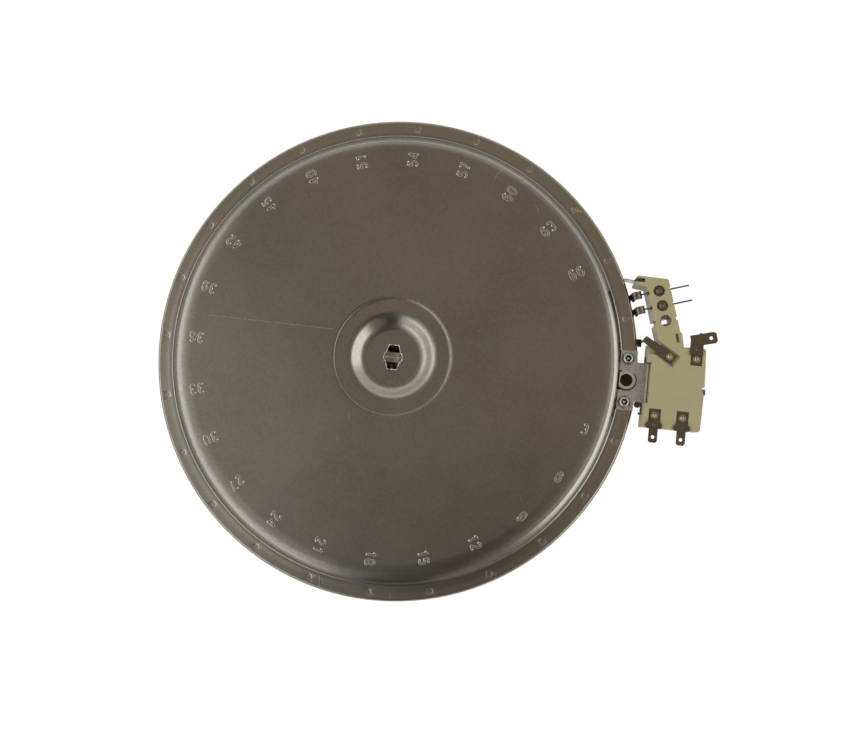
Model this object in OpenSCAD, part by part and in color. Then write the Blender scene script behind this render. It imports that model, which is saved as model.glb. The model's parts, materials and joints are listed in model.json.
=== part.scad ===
// Dual-circuit radiant heating element for a glass-ceramic hob.
// It lies glass side down: z = 0 is the plane of the glass, the pan's axis is the
// origin, and the temperature limiter's switch block stands outside on the +X side.

/* [Pan] */
// Outside diameter of the pan
pan_d = 270; // [250:5:290]
// Thickness of the pan's sheet steel
sheet_t = 0.6; // [0.5:0.05:0.8]
// Height of the rim flange's outer face above the glass
flange_z = 20; // [19:0.5:23]
// Rise of the base plate above the rim flange
plate_rise = 6.3; // [5:0.1:8]
// Height of the pan's lip above the glass
lip_z = 3; // [2:0.5:4]
// Width of the rim flange, outside edge to foot of the step
flange_w = 8.2; // [7.6:0.1:9]
// Width of the sloping step between flange and base plate
step_run = 8.3; // [7:0.1:10]
// Share of the step that rounds into the base plate
step_top_round = 0.2; // [0.1:0.05:0.4]
// Share of the step that rounds into the flange
step_foot_round = 0.12; // [0.05:0.01:0.3]
// Outside radius of the pan's edge
edge_r = 1.6; // [1:0.1:2.2]
// Number of pressed marks around the flange
dimple_count = 24; // [12:2:36]
// Diameter of a pressed mark
dimple_d = 3.4; // [2.4:0.1:4]
// Distance of the marks' middles from the pan's edge
dimple_inset = 4.5; // [4:0.1:5]
// Depth of a pressed mark
dimple_depth = 0.35; // [0.2:0.05:0.4]

/* [Centre dish] */
// Diameter of the shallow ring around the dish
ring_step_d = 66.6; // [60:0.2:72]
// Depth of that shallow ring
ring_step_depth = 0.5; // [0.3:0.1:0.8]
// Run of that ring's slope
ring_run = 1.1; // [0.8:0.1:2]
// Diameter of the dish at the base plate
dish_d = 49.4; // [44:0.2:54]
// Diameter of the dish's floor
dish_floor_d = 30; // [26:0.2:34]
// Share of the dish's wall that is rounded at each end
dish_round = 0.16; // [0.08:0.02:0.4]
// Depth of the dish
dish_depth = 4.5; // [3:0.1:6]
// Width of the rib pressed along the bridge
bridge_rib = 0.9; // [0.6:0.1:1.4]
// Length of the bridge left between the two lanced openings
bridge_l = 10.4; // [9:0.2:12]
// Width of that bridge
bridge_w = 5.4; // [4:0.2:7]
// How far the bridge is pressed in
bridge_sag = 1; // [0.6:0.1:1.4]
// Width of a lanced opening beside the bridge
lance_w = 8; // [6:0.2:9]
// Reach of a lanced opening away from the bridge
lance_reach = 4; // [3:0.2:5]

/* [Insulation] */
// Height of the base insulation's heater side above the glass
bed_z = 13.5; // [13:0.5:15]
// Width of the outer insulating ring
rim_ring_w = 12.1; // [9:0.1:14]
// Clearance from the outer ring to the widest turn's middle line
rim_clear = 9; // [7:0.5:10]
// Clearance from the dividing ring to a turn's middle line
divider_clear = 6; // [4.6:0.1:7]
// Width of the dividing ring
divider_w = 7; // [5:0.5:8]
// Width of a groove that holds the ribbon
groove_w = 4.4; // [4.2:0.1:5]
// Side clearance between nested pieces
fit_gap = 0.3; // [0.2:0.05:0.4]

/* [Ribbons] */
// Height of the ribbon
ribbon_h = 5; // [4:0.5:6]
// Depth of the ribbon in its groove
ribbon_sink = 2; // [1:0.5:2.5]
// Thickness of the ribbon across its wave
ribbon_t = 0.6; // [0.4:0.1:0.8]
// Half height of the wave
wave_amp = 1.5; // [1:0.1:1.6]
// Length of one wave
wave_l = 8; // [7:0.5:12]
// Distance between turns of the outer circuit
outer_pitch = 7; // [6.6:0.1:7.2]
// Turns of the outer circuit
outer_turns = 5; // [3:2:5]
// Smallest radius that a turn may have
least_r = 17; // [15:0.5:20]
// Distance between turns of the inner circuit
inner_pitch = 8; // [7:0.1:8.2]

/* [Leads] */
// Width of the lead strips
lead_w = 4.2; // [3.4:0.1:4.8]
// Thickness of the lead strips
lead_t = 0.6; // [0.4:0.1:0.8]
// Width of the strap that joins the leads to the limiter
strap_w = 5.6; // [4.6:0.1:6]
// Width of its narrower end, where it folds down
strap_neck_w = 3.8; // [3:0.1:4.4]
// Outside radius of that fold
strap_fold_r = 1.4; // [1:0.1:2]
// Distance of the common lead from the limiter's axis
common_y = 21.9; // [20:0.1:23]
// Diameter of the wires that cross the arm
wire_d = 0.9; // [0.7:0.1:1.2]
// Reach of a wire beyond the arm
pin_reach = 10.4; // [8:0.2:13]
// Length of the crimp on a lead
crimp_l = 3.6; // [3:0.1:5]

/* [Switch block] */
// Gap between the pan's wall and the block
block_gap = 3.8; // [3.4:0.1:5]
// Width of the block, along the limiter's axis
block_w = 31.6; // [29:0.2:34]
// Length of the block, across the limiter's axis
block_l = 45; // [42:0.5:48]
// Height of the block
block_h = 15.6; // [14:0.2:17]
// Height of the block's outer face above the rim flange
block_rise = 7; // [6:0.2:8]
// Offset of the block's middle to the side of the limiter's axis
block_shift = -2; // [-3:0.5:-1]
// Thickness of the wall that carries the terminals
roof_t = 4; // [3.4:0.1:5]
// Thickness of the block's side walls
wall_t = 2; // [1.8:0.1:2.4]
// Depth of the terminals' recesses
recess_depth = 1.2; // [0.9:0.1:1.6]
// Depth of the slot that takes the bracket's upright
saddle_depth = 2.3; // [1.6:0.1:2.4]
// Height of the lower cover's face above the glass
cover_z = 1.5; // [1:0.25:2]

/* [Arm] */
// Lean of the arm from the Y axis
arm_tilt = 17.3; // [14:0.1:20]
// Width of the arm
arm_w = 12.4; // [11:0.2:14]
// Distance of its lowest hole from the block's pan side
arm_inset = 7.9; // [7:0.1:9]
// Distance of that hole above the block
arm_rise = 13.5; // [12:0.1:15]
// Root of the arm below its lowest hole
arm_root = 18; // [16:0.5:19]
// Distance of the arm's shoulder below its lowest hole
arm_shoulder = 7.6; // [7:0.1:9]
// Reach of the arm beyond its lowest hole
arm_reach = 22; // [20:0.5:25]
// Distance between the arm's holes
hole_pitch = 8.3; // [7.4:0.1:9]
// Diameter of the arm's holes
hole_d = 6.2; // [5:0.1:7]
// Depth of the arm's holes
hole_depth = 3.6; // [3:0.1:4.5]
// Width of the wire slots below the holes
slot_w = 2.4; // [2:0.1:3]
// Length of the hook at the arm's end
hook_l = 5.8; // [5:0.1:7]

/* [Bracket] */
// Thickness of the bracket's sheet
bracket_t = 1.2; // [1:0.1:1.4]
// Width of the bracket between the block and the pan
bracket_w = 21.6; // [19:0.2:22]
// Offset of that part to the side of the limiter's axis
bracket_shift = -0.5; // [-1:0.1:0]
// Width of the bracket across its two screwed ears
ear_span = 32.8; // [31:0.2:36]
// Distance between the two fixing screws
screw_pitch = 24; // [23:0.2:26]
// Bore of the drawn collar
collar_bore = 6.9; // [6:0.1:7]
// Outside diameter of the drawn collar
collar_d = 10.8; // [10.4:0.1:11.6]
// Height of the collar above the bracket
collar_h = 1.2; // [0.8:0.1:1.6]
// Diameter of a fixing screw's head
screw_head_d = 7; // [6:0.1:7.6]
// Diameter of a fixing screw's thread
screw_d = 3.5; // [3:0.1:4]

/* [Terminals] */
// Width of the power tab
power_tab_w = 6.3; // [5.6:0.1:7]
// Width of the two signal tabs
signal_tab_w = 4.8; // [4:0.1:5.4]
// Distance between the two signal tabs
signal_pitch = 14.8; // [14:0.1:16]
// Thickness of the tabs
tab_t = 0.8; // [0.5:0.1:0.9]
// Free length of a signal tab beyond its shoulders
signal_tab_l = 7.6; // [6.5:0.1:9]
// Diameter of a rivet's head
rivet_head_d = 4.1; // [3.4:0.1:4.6]
// Diameter of a rivet's shank
rivet_d = 2.2; // [1.8:0.1:2.6]

/* [Limiter] */
// Outside diameter of the quartz tube
tube_d = 6; // [5.5:0.1:6.5]
// Bore of the quartz tube
tube_bore = 3.2; // [2.8:0.1:3.8]
// Height of the tube's axis above the glass
tube_z = 6.2; // [6:0.1:6.5]
// Diameter of the expansion wire
expander_d = 2; // [1.6:0.1:2.4]
// Thickness of the contact strips
strip_t = 0.5; // [0.4:0.1:0.6]
// Width of the contact strips
strip_w = 3; // [2.6:0.1:3.2]
// Gap between a moving contact and its fixed contact
contact_gap = 0.3; // [0.2:0.1:0.6]

/* [Hidden] */
$fn = 64;

// Pan levels and radii
pan_r = pan_d / 2;
plate_z = flange_z + plate_rise;
step_foot_r = pan_r - flange_w;
step_top_r = step_foot_r - step_run;
dish_run = (dish_d - dish_floor_d) / 2;
dimple_r = pan_r - dimple_inset;

// Insulation
bed_r = pan_r - sheet_t - fit_gap;
shoulder_z = flange_z - sheet_t - 0.5;
rim_in_r = bed_r - rim_ring_w;

// Turns: the outer circuit starts inside the outer ring, the dividing ring follows its last
// turn, and the inner circuit takes as many turns as its room allows, an odd number
outer_r = rim_in_r - rim_clear;
outer_last_r = outer_r - (outer_turns - 1) * outer_pitch;
divider_out_r = outer_last_r - divider_clear;
divider_in_r = divider_out_r - divider_w;
inner_r = divider_in_r - divider_clear;
inner_turns = 2 * floor((inner_r - least_r) / inner_pitch / 2) + 1;

// Block outline: left wall, right wall, lower and upper sides in plan
block_x = pan_r + block_gap;
block_x2 = block_x + block_w;
block_y = block_shift - block_l / 2;
block_y2 = block_shift + block_l / 2;
block_top = flange_z + block_rise;
block_bot = block_top - block_h;
roof_z = block_top - roof_t;
recess_z = block_top - recess_depth;
cavity_x = block_x + saddle_depth + wall_t;
cavity_x2 = block_x2 - wall_t - 0.6;
cavity_y = block_y + wall_t;
cavity_y2 = block_y2 - wall_t;
cover_x = block_x + 2.4;
cover_x2 = block_x2 - 2.6;
cover_y = block_y + 1.6;
cover_y2 = block_y2 - 1.6;

// Arm: its lowest hole, and the directions along and across it
arm_hole = [block_x + arm_inset, block_y2 + arm_rise];
arm_along = [-sin(arm_tilt), cos(arm_tilt)];
arm_across = [cos(arm_tilt), sin(arm_tilt)];
wire_z = block_top - 2.6;
outer_hole = arm_hole + 2 * hole_pitch * arm_along;
inner_hole = arm_hole + hole_pitch * arm_along;

// Leads: each leaves the pan in line with the wire that crosses the arm
lead_mid = bed_z - lead_t / 2;
crimp_z = flange_z - 1.4;
crimp_run = 9;
crimp_side = 0.9 * arm_along;
function wall_run(hole) = let (b = hole * arm_across) b - sqrt(b * b - hole * hole + pow(pan_r + 1.2, 2));
outer_exit = outer_hole - wall_run(outer_hole) * arm_across;
inner_exit = inner_hole - wall_run(inner_hole) * arm_across;

// Gap in the turns, where the leads lie: sideways limits of the outer circuit,
// and limits of angle for the inner one
gap_low_y = common_y - lead_w / 2 - outer_pitch / 2 - ribbon_t / 2 - 2 * fit_gap;
gap_high_y = outer_exit[1] + lead_w / 2 + 0.9;
inner_gap_low = asin(gap_low_y / inner_r);
inner_gap_high = 52;

// Bracket
bracket_low_y = bracket_shift - bracket_w / 2;
bracket_x = pan_r - 8.5;
collar_x = pan_r - 6;
ear_x = pan_r - 10;
ear_x2 = pan_r - 1;
ear_inner_y = 5.4;
upright_x2 = block_x + saddle_depth - 0.2;
upright_x = upright_x2 - bracket_t;

// Terminals
signal_left = [block_x + 6.4, block_y + 6.5];
signal_right = signal_left + [signal_pitch, 0];
power_at = [block_x2 - 5.6, block_y2 - 6];
strap_at = [block_x + 11.6, block_y2 - 6.1];
strap_dir = 148;
strap_run = 16.3;
strap_neck = 7.6;
strap_bend = strap_at + strap_run * [cos(strap_dir), sin(strap_dir)];

// Limiter
tube_x2 = cover_x + wall_t;
tube_x = -(pan_r - 8);
cup_x = tube_x2 + 6;
disc_x = cup_x + 1.4;
blade_x = disc_x + 2.4;
fixed_x = blade_x + 3;
calibration_y = -2.3;
calibration_z = block_top - 9.6;

// Slope from 0 to 1 that is round over a share a of its start and b of its end
function slope(u, a, b) = let (c = max(0, min(1, u)), s = 2 / (2 - a - b))
    c < a ? s * c * c / (2 * a) : c > 1 - b ? 1 - s * pow(1 - c, 2) / (2 * b) : s * (c - a / 2);
// Shares of a slope at which it bends, for a profile drawn with few points
function slope_marks(a, b) = concat(ramp(0, a, 4), ramp(1 - b, 1, 4));
// Evenly spaced values from a to b
function ramp(a, b, n) = [for (i = [0:n]) a + (b - a) * i / n];
function polar(r, a) = r * [cos(a), sin(a)];
function unit(v) = v / norm(v);
// Height of the pan's outer face at radius r
function pan_face(r) = plate_z
    - ring_step_depth * slope((ring_step_d / 2 - r) / ring_run, 0.4, 0.4)
    - dish_depth * slope((dish_d / 2 - r) / dish_run, dish_round, dish_round)
    - plate_rise * slope((r - step_top_r) / step_run, step_top_round, step_foot_round);
step_radii = [for (u = slope_marks(step_top_round, step_foot_round)) step_top_r + u * step_run];
dish_radii = [for (u = slope_marks(dish_round, dish_round)) dish_floor_d / 2 + u * dish_run];
pan_radii = concat([0], dish_radii,
                   [for (u = slope_marks(0.4, 0.4)) ring_step_d / 2 - ring_run * (1 - u)], step_radii);

// A bar of rectangular section between two points, wide across the plan
module bar_between(p, q, w, t) {
    d = q - p;
    run = norm([d[0], d[1]]);
    translate(p) rotate([0, -atan2(d[2], run), atan2(d[1], d[0])])
        translate([0, -w / 2, -t / 2]) cube([norm(d), w, t]);
}

// A round wire between two points
module wire_between(p, q, d) {
    v = q - p;
    translate(p) rotate([0, atan2(norm([v[0], v[1]]), v[2]), atan2(v[1], v[0])])
        cylinder(d = d, h = norm(v));
}

// The corner of a path at b, rounded from a distance reach before it to the same after it
function corner(a, b, c, reach) = let (arrive = unit(b - a), leave = unit(c - b),
    half = acos(arrive * leave) / 2, onward = unit(arrive + leave), inward = unit(leave - arrive),
    r = reach / tan(half), middle = b + inward * reach / sin(half))
    [for (k = [-3:3]) let (g = k * half / 3) middle + r * (onward * sin(g) - inward * cos(g))];

// A solid through equal rings of points, one ring after the other
module loft(points, sides) {
    last = len(points) / sides - 1;
    walls = [for (i = [0:last - 1]) for (k = [0:sides - 1])
        let (n = (k + 1) % sides, b = i * sides) [b + k, b + n, b + sides + n, b + sides + k]];
    ends = [[for (k = [sides - 1:-1:0]) k], [for (k = [0:sides - 1]) last * sides + k]];
    polyhedron(points, concat(walls, ends));
}

// A bent wire along a path; side is a direction that the path nowhere follows
module bent_wire(path, d, side) {
    sides = 12;
    last = len(path) - 1;
    loft([for (i = [0:last])
        let (on = unit(path[min(i + 1, last)] - path[max(i - 1, 0)]),
             across = unit(side - (side * on) * on), up = cross(across, on))
        for (a = [0:360 / sides:359]) path[i] + d / 2 * (across * cos(a) + up * sin(a))], sides);
}

// A cylinder along +X
module along_x(p, d, l) {
    translate(p) rotate([0, 90, 0]) cylinder(d = d, h = l);
}

// A box between two corners
module box(a, b) {
    translate(a) cube(b - a);
}

// A point in plan lifted to height z
function at_z(p, z) = [p[0], p[1], z];

module pan() {
    corner_z = flange_z - edge_r;
    corner_x = pan_r - edge_r;
    inner_r = edge_r - sheet_t;
    color("#6b6459")
    difference() {
        rotate_extrude($fn = 180) polygon(concat(
            [for (r = pan_radii) [r, pan_face(r)]],
            [for (a = [90:-15:0]) [corner_x, corner_z] + polar(edge_r, a)],
            [[pan_r, lip_z], [pan_r - sheet_t, lip_z]],
            [for (a = [0:15:90]) [corner_x, corner_z] + polar(inner_r, a)],
            [for (i = [len(pan_radii) - 1:-1:0]) [pan_radii[i], pan_face(pan_radii[i]) - sheet_t]]));
        pan_dimples();
        lanced_openings();
        wall_openings();
        translate([collar_x, 0, flange_z - 2]) cylinder(d = collar_bore + 1, h = 4);
        for (s = [-1, 1])
            translate([collar_x, s * screw_pitch / 2, flange_z - 2]) cylinder(d = screw_d + 0.2, h = 4);
    }
    color("#6b6459") bridge();
}

// Spherical marks on the flange; the one behind the bracket is left out
module pan_dimples() {
    ball_r = (pow(dimple_d / 2, 2) + pow(dimple_depth, 2)) / (2 * dimple_depth);
    for (i = [1:dimple_count - 1])
        rotate([0, 0, i * 360 / dimple_count])
            translate([dimple_r, 0, flange_z - dimple_depth + ball_r]) sphere(r = ball_r);
}

// Two tapered windows in the dish's floor and the gap that frees the bridge
module lanced_openings() {
    floor_z = pan_face(0);
    translate([0, 0, floor_z - 2]) linear_extrude(4) {
        square([bridge_l, bridge_w], center = true);
        for (s = [-1, 1])
            polygon([[-lance_w / 2, s * bridge_w / 2.1], [lance_w / 2, s * bridge_w / 2.1],
                     [lance_w * 0.34, s * (bridge_w / 2 + lance_reach)],
                     [-lance_w * 0.34, s * (bridge_w / 2 + lance_reach)]]);
    }
}

// The bridge: a strip of the floor pressed in to a shallow arch
module bridge() {
    half = bridge_l / 2 + 0.02;
    arch_r = (half * half + bridge_sag * bridge_sag) / (2 * bridge_sag);
    floor_z = pan_face(0);
    intersection() {
        translate([0, bridge_w / 2, floor_z - bridge_sag + arch_r]) rotate([90, 0, 0])
            difference() {
                cylinder(r = arch_r, h = bridge_w, $fn = 180);
                translate([0, 0, -1]) cylinder(r = arch_r - sheet_t, h = bridge_w + 2, $fn = 180);
            }
        box([-half, -bridge_w, floor_z - bridge_sag - 1], [half, bridge_w, floor_z]);
    }
    intersection() {
        translate([0, 0, floor_z - bridge_sag + arch_r]) rotate([90, 0, 0])
            rotate_extrude($fn = 180) translate([arch_r - sheet_t, 0]) circle(d = bridge_rib, $fn = 24);
        box([-half, -bridge_w, floor_z - bridge_sag - 0.4], [half, bridge_w, floor_z]);
    }
}

// Notch for the limiter's tube, and a window for each lead
module wall_openings() {
    box([pan_r - 3, -tube_d / 2 - 0.6, lip_z - 1], [pan_r + 2, tube_d / 2 + 0.6, tube_z + tube_d / 2 + 0.6]);
    for (y = [common_y, inner_exit[1], outer_exit[1]]) {
        x = sqrt(pan_r * pan_r - y * y);
        box([x - 4, y - lead_w / 2 - 1.2, bed_z - lead_t - 1.2], [x + 3, y + lead_w / 2 + 1.2, bed_z + 1.2]);
    }
}

// Pressed mineral bed: fills the pan behind the ribbons and holds them in grooves
module base_insulation() {
    top_z = plate_z - sheet_t;
    under_radii = concat([0], dish_radii, [ring_step_d / 2 - ring_run, ring_step_d / 2]);
    color("#dcd8cc")
    difference() {
        rotate_extrude($fn = 180) polygon(concat(
            [[0, bed_z], [bed_r, bed_z], [bed_r, shoulder_z], [step_foot_r - 1.3, shoulder_z],
             [step_top_r - 0.5, top_z], [ring_step_d / 2 + 0.4, top_z]],
            [for (i = [len(under_radii) - 1:-1:0])
                [under_radii[i], pan_face(under_radii[i]) - sheet_t - fit_gap]]));
        box([-lance_w / 2 - 1, -bridge_w / 2 - lance_reach - 1, bed_z + 1.2],
            [lance_w / 2 + 1, bridge_w / 2 + lance_reach + 1, top_z]);
        box([-bridge_l / 2 - 1, -bridge_w / 2 - 1, pan_face(0) - sheet_t - bridge_sag - fit_gap],
            [bridge_l / 2 + 1, bridge_w / 2 + 1, top_z]);
        for (i = [0:outer_turns - 1]) groove(outer_r - i * outer_pitch);
        for (i = [0:inner_turns - 1]) groove(inner_r - i * inner_pitch);
        for (p = bend_pockets)
            translate([p[0], p[1], bed_z - 1]) cylinder(r = p[2] + groove_w / 2, h = ribbon_sink + 1);
        translate([collar_x, 0, bed_z - 1]) cylinder(d = collar_bore + 2, h = flange_z);
        for (s = [-1, 1])
            translate([collar_x, s * screw_pitch / 2, flange_z - 5.4]) cylinder(d = screw_d + 0.4, h = 6);
        for (y = [common_y, inner_exit[1], outer_exit[1]]) {
            x = sqrt(pan_r * pan_r - y * y);
            box([x - 3, y - lead_w / 2 - 1.2, bed_z - 1], [x + 3, y + lead_w / 2 + 1.2, bed_z + 1.2]);
        }
    }
}

module groove(r) {
    translate([0, 0, bed_z - 1]) rotate_extrude($fn = 120)
        translate([r - groove_w / 2, 0]) square([groove_w, ribbon_sink + 1]);
}

// Outer insulating ring: its face is what touches the glass
module rim_ring() {
    color("#e3dfd2")
    difference() {
        rotate_extrude($fn = 180) polygon([[rim_in_r + 1.5, 0], [bed_r - 1, 0], [bed_r, 1],
                                           [bed_r, bed_z], [rim_in_r, bed_z], [rim_in_r, 1.5]]);
        translate([collar_x, 0, tube_z + tube_d / 2 + 1.3]) cylinder(d = collar_bore + 2, h = bed_z);
        tube_groove(1);
        tube_groove(-1);
        lead_channels();
    }
}

// Ring that parts the two circuits
module divider_ring() {
    color("#e3dfd2")
    difference() {
        rotate_extrude($fn = 180) polygon([
            [divider_in_r + 0.8, 0], [divider_out_r - 0.8, 0], [divider_out_r, 0.8],
            [divider_out_r, bed_z], [divider_in_r, bed_z], [divider_in_r, 0.8]]);
        tube_groove(1);
        tube_groove(-1);
        lead_channels();
    }
}

// Open channel across a ring for the limiter's tube; on the far side it ends short of the wall
module tube_groove(side) {
    w = tube_d + 2 * fit_gap;
    x2 = side > 0 ? pan_r + 1 : pan_r - 3.4;
    mirror([side < 0 ? 1 : 0, 0, 0]) {
        box([0, -w / 2, -1], [x2, w / 2, tube_z]);
        along_x([0, 0, tube_z], w, x2);
    }
}

// Shallow channels on the back of the rings for the leads that lie on the bed
module lead_channels() {
    clear = fit_gap;
    translate([0, 0, bed_z - lead_t - clear]) linear_extrude(lead_t + 2 * clear)
        for (route = [common_route[0], outer_route, inner_route])
            polygon(strip_outline(route, lead_w + 2 * clear));
}

// Angle at which a turn of radius r meets the gap; low and high side
function outer_low(r) = asin(gap_low_y / r);
function outer_high(r) = asin(gap_high_y / r);

// One turn as a wave: each entry is a point and the direction of the ribbon's A side
function turn(r, a0, a1, side) =
    let (n = 2 * round(PI * r * abs(a1 - a0) / 180 / wave_l))
    [for (i = [0:n]) let (a = a0 + (a1 - a0) * i / n, o = (i == 0 || i == n) ? 0 : (i % 2 == 0 ? 1 : -1) * wave_amp)
        [polar(r + o, a), polar(side, a)]];

// A plain bend between two turns: half a circle about the middle of their ends
function bend(p, q, s) =
    let (c = (p + q) / 2, r = norm(p - q) / 2, a0 = atan2(p[1] - c[1], p[0] - c[0]))
    [for (k = [30:30:150]) let (a = a0 + s * k) [c + polar(r, a), polar(s, a)]];

// The whole ribbon, from its widest turn inwards: turns run back and forth between the
// low and the high side of the gap
function ribbon(r0, pitch, turns, low, high, from_high) = [for (i = [0:turns - 1]) each
    let (r = r0 - i * pitch, up = (i % 2 == 0) == from_high, lo = low[i], hi = high[i])
    concat(up ? turn(r, hi, 360 + lo, 1) : turn(r, 360 + lo, hi, -1),
           i == turns - 1 ? [] :
           up ? bend(polar(r, lo), polar(r - pitch, low[i + 1]), 1)
              : bend(polar(r, hi), polar(r - pitch, high[i + 1]), -1))];

outer_lows = [for (i = [0:outer_turns - 1]) outer_low(outer_r - i * outer_pitch)];
outer_highs = [for (i = [0:outer_turns - 1]) outer_high(outer_r - i * outer_pitch)];
inner_lows = [for (i = [0:inner_turns - 1]) inner_gap_low];
inner_highs = [for (i = [0:inner_turns - 1]) inner_gap_high];

// Middle and radius of every bend, for the pockets in the bed
function turn_centres(r0, pitch, turns, low, high, from_high) = [for (i = [0:turns - 2])
    let (a = (i % 2 == 0) == from_high ? low : high,
         p = polar(r0 - i * pitch, a[i]), q = polar(r0 - (i + 1) * pitch, a[i + 1]))
    [(p[0] + q[0]) / 2, (p[1] + q[1]) / 2, norm(p - q) / 2]];
bend_pockets = concat(
    turn_centres(outer_r, outer_pitch, outer_turns, outer_lows, outer_highs, true),
    turn_centres(inner_r, inner_pitch, inner_turns, inner_lows, inner_highs, false));

module ribbon_solid(path) {
    a = [for (p = path) p[0] + p[1] * ribbon_t / 2];
    b = [for (i = [len(path) - 1:-1:0]) path[i][0] - path[i][1] * ribbon_t / 2];
    translate([0, 0, bed_z + ribbon_sink - ribbon_h]) linear_extrude(ribbon_h) polygon(concat(a, b));
}

module outer_ribbon() {
    color("#5a5450") ribbon_solid(ribbon(outer_r, outer_pitch, outer_turns, outer_lows, outer_highs, true));
}

module inner_ribbon() {
    color("#5a5450") ribbon_solid(ribbon(inner_r, inner_pitch, inner_turns, inner_lows, inner_highs, false));
}

// Ends of the ribbons, where the leads are welded on
outer_start = polar(outer_r, outer_highs[0]);
outer_end = polar(outer_last_r, outer_lows[outer_turns - 1]);
inner_start = polar(inner_r, inner_gap_low);
inner_last_r = inner_r - (inner_turns - 1) * inner_pitch;
inner_end = polar(inner_last_r, inner_gap_high);
weld = 0.2;

// Plan of each lead on the bed; the common one is a run with two short legs
strap_foot_x = strap_bend[0] - lead_t / 2;
common_route = [[[strap_foot_x, common_y], [inner_start[0] - lead_w / 2, common_y]],
                [[outer_end[0], common_y], outer_end + [0, weld]],
                [[inner_start[0], common_y], inner_start + [0, weld]]];
outer_route = [outer_exit, [outer_start[0], outer_exit[1]], outer_start - [0, weld]];
inner_bend = [sqrt(pow(divider_out_r + 3, 2) - pow(inner_exit[1], 2)), inner_exit[1]];
inner_turn = polar(inner_last_r, inner_gap_high - 18);
inner_route = [inner_exit, inner_bend, inner_turn,
               inner_end + weld * [sin(inner_gap_high), -cos(inner_gap_high)]];

// Outline of a strip of width w along a line of points, with mitred corners
function strip_outline(p, w) = let (n = len(p) - 1,
    run = [for (i = [0:n - 1]) (p[i + 1] - p[i]) / norm(p[i + 1] - p[i])],
    side = [for (i = [0:n]) let (a = run[max(i - 1, 0)], m = a + run[min(i, n - 1)]) [-m[1], m[0]] / (m * a)])
    concat([for (i = [0:n]) p[i] + side[i] * w / 2], [for (i = [n:-1:0]) p[i] - side[i] * w / 2]);

module flat_lead(route) {
    translate([0, 0, bed_z - lead_t]) linear_extrude(lead_t) polygon(strip_outline(route, lead_w));
}

// Folded strip: lies on the bed, leaves the pan, stands up beside the block and ends in
// the limiter's recess
module heater_strap() {
    top_mid = recess_z + lead_t / 2;
    color("#57493b")
    difference() {
        union() {
            for (s = common_route) bar_between(at_z(s[0], lead_mid), at_z(s[1], lead_mid), lead_w, lead_t);
            strap_neck_part();
            bar_between(at_z(strap_at - polar(3.2, strap_dir), top_mid),
                        at_z(strap_at + polar(strap_neck, strap_dir), top_mid), strap_w, lead_t);
        }
        translate(at_z(strap_at, recess_z - 1)) cylinder(d = rivet_d + 0.1, h = 4);
        translate([strap_bend[0] - 1.7, common_y, bed_z + 0.6]) sphere(d = 2);
    }
}

// Narrow end of the strap: along the top, round the fold and down to the bed
module strap_neck_part() {
    x2 = lead_t / 2;
    top = recess_z + lead_t;
    inner_r = strap_fold_r - lead_t;
    middle = [x2 - strap_fold_r, top - strap_fold_r];
    translate(at_z(strap_bend, 0)) rotate([0, 0, strap_dir])
        translate([0, strap_neck_w / 2, 0]) rotate([90, 0, 0]) linear_extrude(strap_neck_w) polygon(concat(
            [[strap_neck - strap_run - 0.2, top - lead_t], [strap_neck - strap_run - 0.2, top]],
            [for (a = [90:-15:0]) middle + polar(strap_fold_r, a)],
            [[x2, bed_z - lead_t], [x2 - lead_t, bed_z - lead_t]],
            [for (a = [0:15:90]) middle + polar(inner_r, a)]));
}

// Lead of one circuit: flat on the bed, then a slope up to a crimp and its taper
module circuit_lead(route, leave, hole) {
    crimp_end = hole + crimp_side - crimp_run * arm_across;
    crimp_start = crimp_end - crimp_l * arm_across;
    color("#5b4a3c")
    difference() {
        union() {
            flat_lead(route);
            bar_between(at_z(leave, lead_mid), at_z(crimp_start, crimp_z), lead_w, lead_t);
            translate(at_z(crimp_start, crimp_z)) rotate([0, 0, arm_tilt]) {
                box([-0.6, -lead_w / 2, -0.8], [crimp_l, lead_w / 2, 0.8]);
                for (x = [0.6, crimp_l - 0.6]) translate([x, lead_w / 2, 0]) rotate([90, 0, 0])
                    cylinder(d = 2.2, h = lead_w);
            }
        }
        wire_between(at_z(crimp_end - arm_across, crimp_z), at_z(crimp_end + arm_across, crimp_z),
                     wire_d + 0.1);
    }
}

module outer_lead() { circuit_lead(outer_route, outer_exit, outer_hole); }

module inner_lead() { circuit_lead(inner_route, inner_exit, inner_hole); }

// Wire from a crimp: it folds back once on its way up, crosses the arm's hole and ends in a
// bare pin. Each point is a distance along the wire's line from the hole's middle, a height and
// a share of the crimp's offset to the side
module crossing_wire(hole) {
    gate = arm_w / 2;
    line = [[-crimp_run - 0.9, crimp_z, 1], [-gate - 0.6, crimp_z, 1], [-crimp_run + 0.6, wire_z - 0.8, 0.5],
            [-gate, wire_z, 0], [gate + pin_reach, wire_z, 0]];
    points = [for (p = line) at_z(hole + p[2] * crimp_side + p[0] * arm_across, p[1])];
    bends = [for (i = [1:3]) for (p = corner(points[i - 1], points[i], points[i + 1], 1.1)) p];
    color("#3b3b45") bent_wire(concat([points[0]], bends, [points[4]]), wire_d, at_z(arm_along, 0));
}

module outer_wire() { crossing_wire(outer_hole); }

module inner_wire() { crossing_wire(inner_hole); }

// Folded sleeve that is pinched round a wire inside a hole of the arm
module splice(hole) {
    color("#6d655c")
    translate(at_z(hole, wire_z)) rotate([0, 0, arm_tilt]) difference() {
        union() {
            box([-1.7, -1.1, -1], [2.1, 1.1, 1]);
            translate([-1.2, 1.1, 0.6]) rotate([90, 0, 0]) cylinder(d = 1.3, h = 2.2);
        }
        along_x([-3, 0, 0], wire_d + 0.1, 6);
    }
}

module outer_splice() { splice(outer_hole); }

module inner_splice() { splice(inner_hole); }

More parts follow.
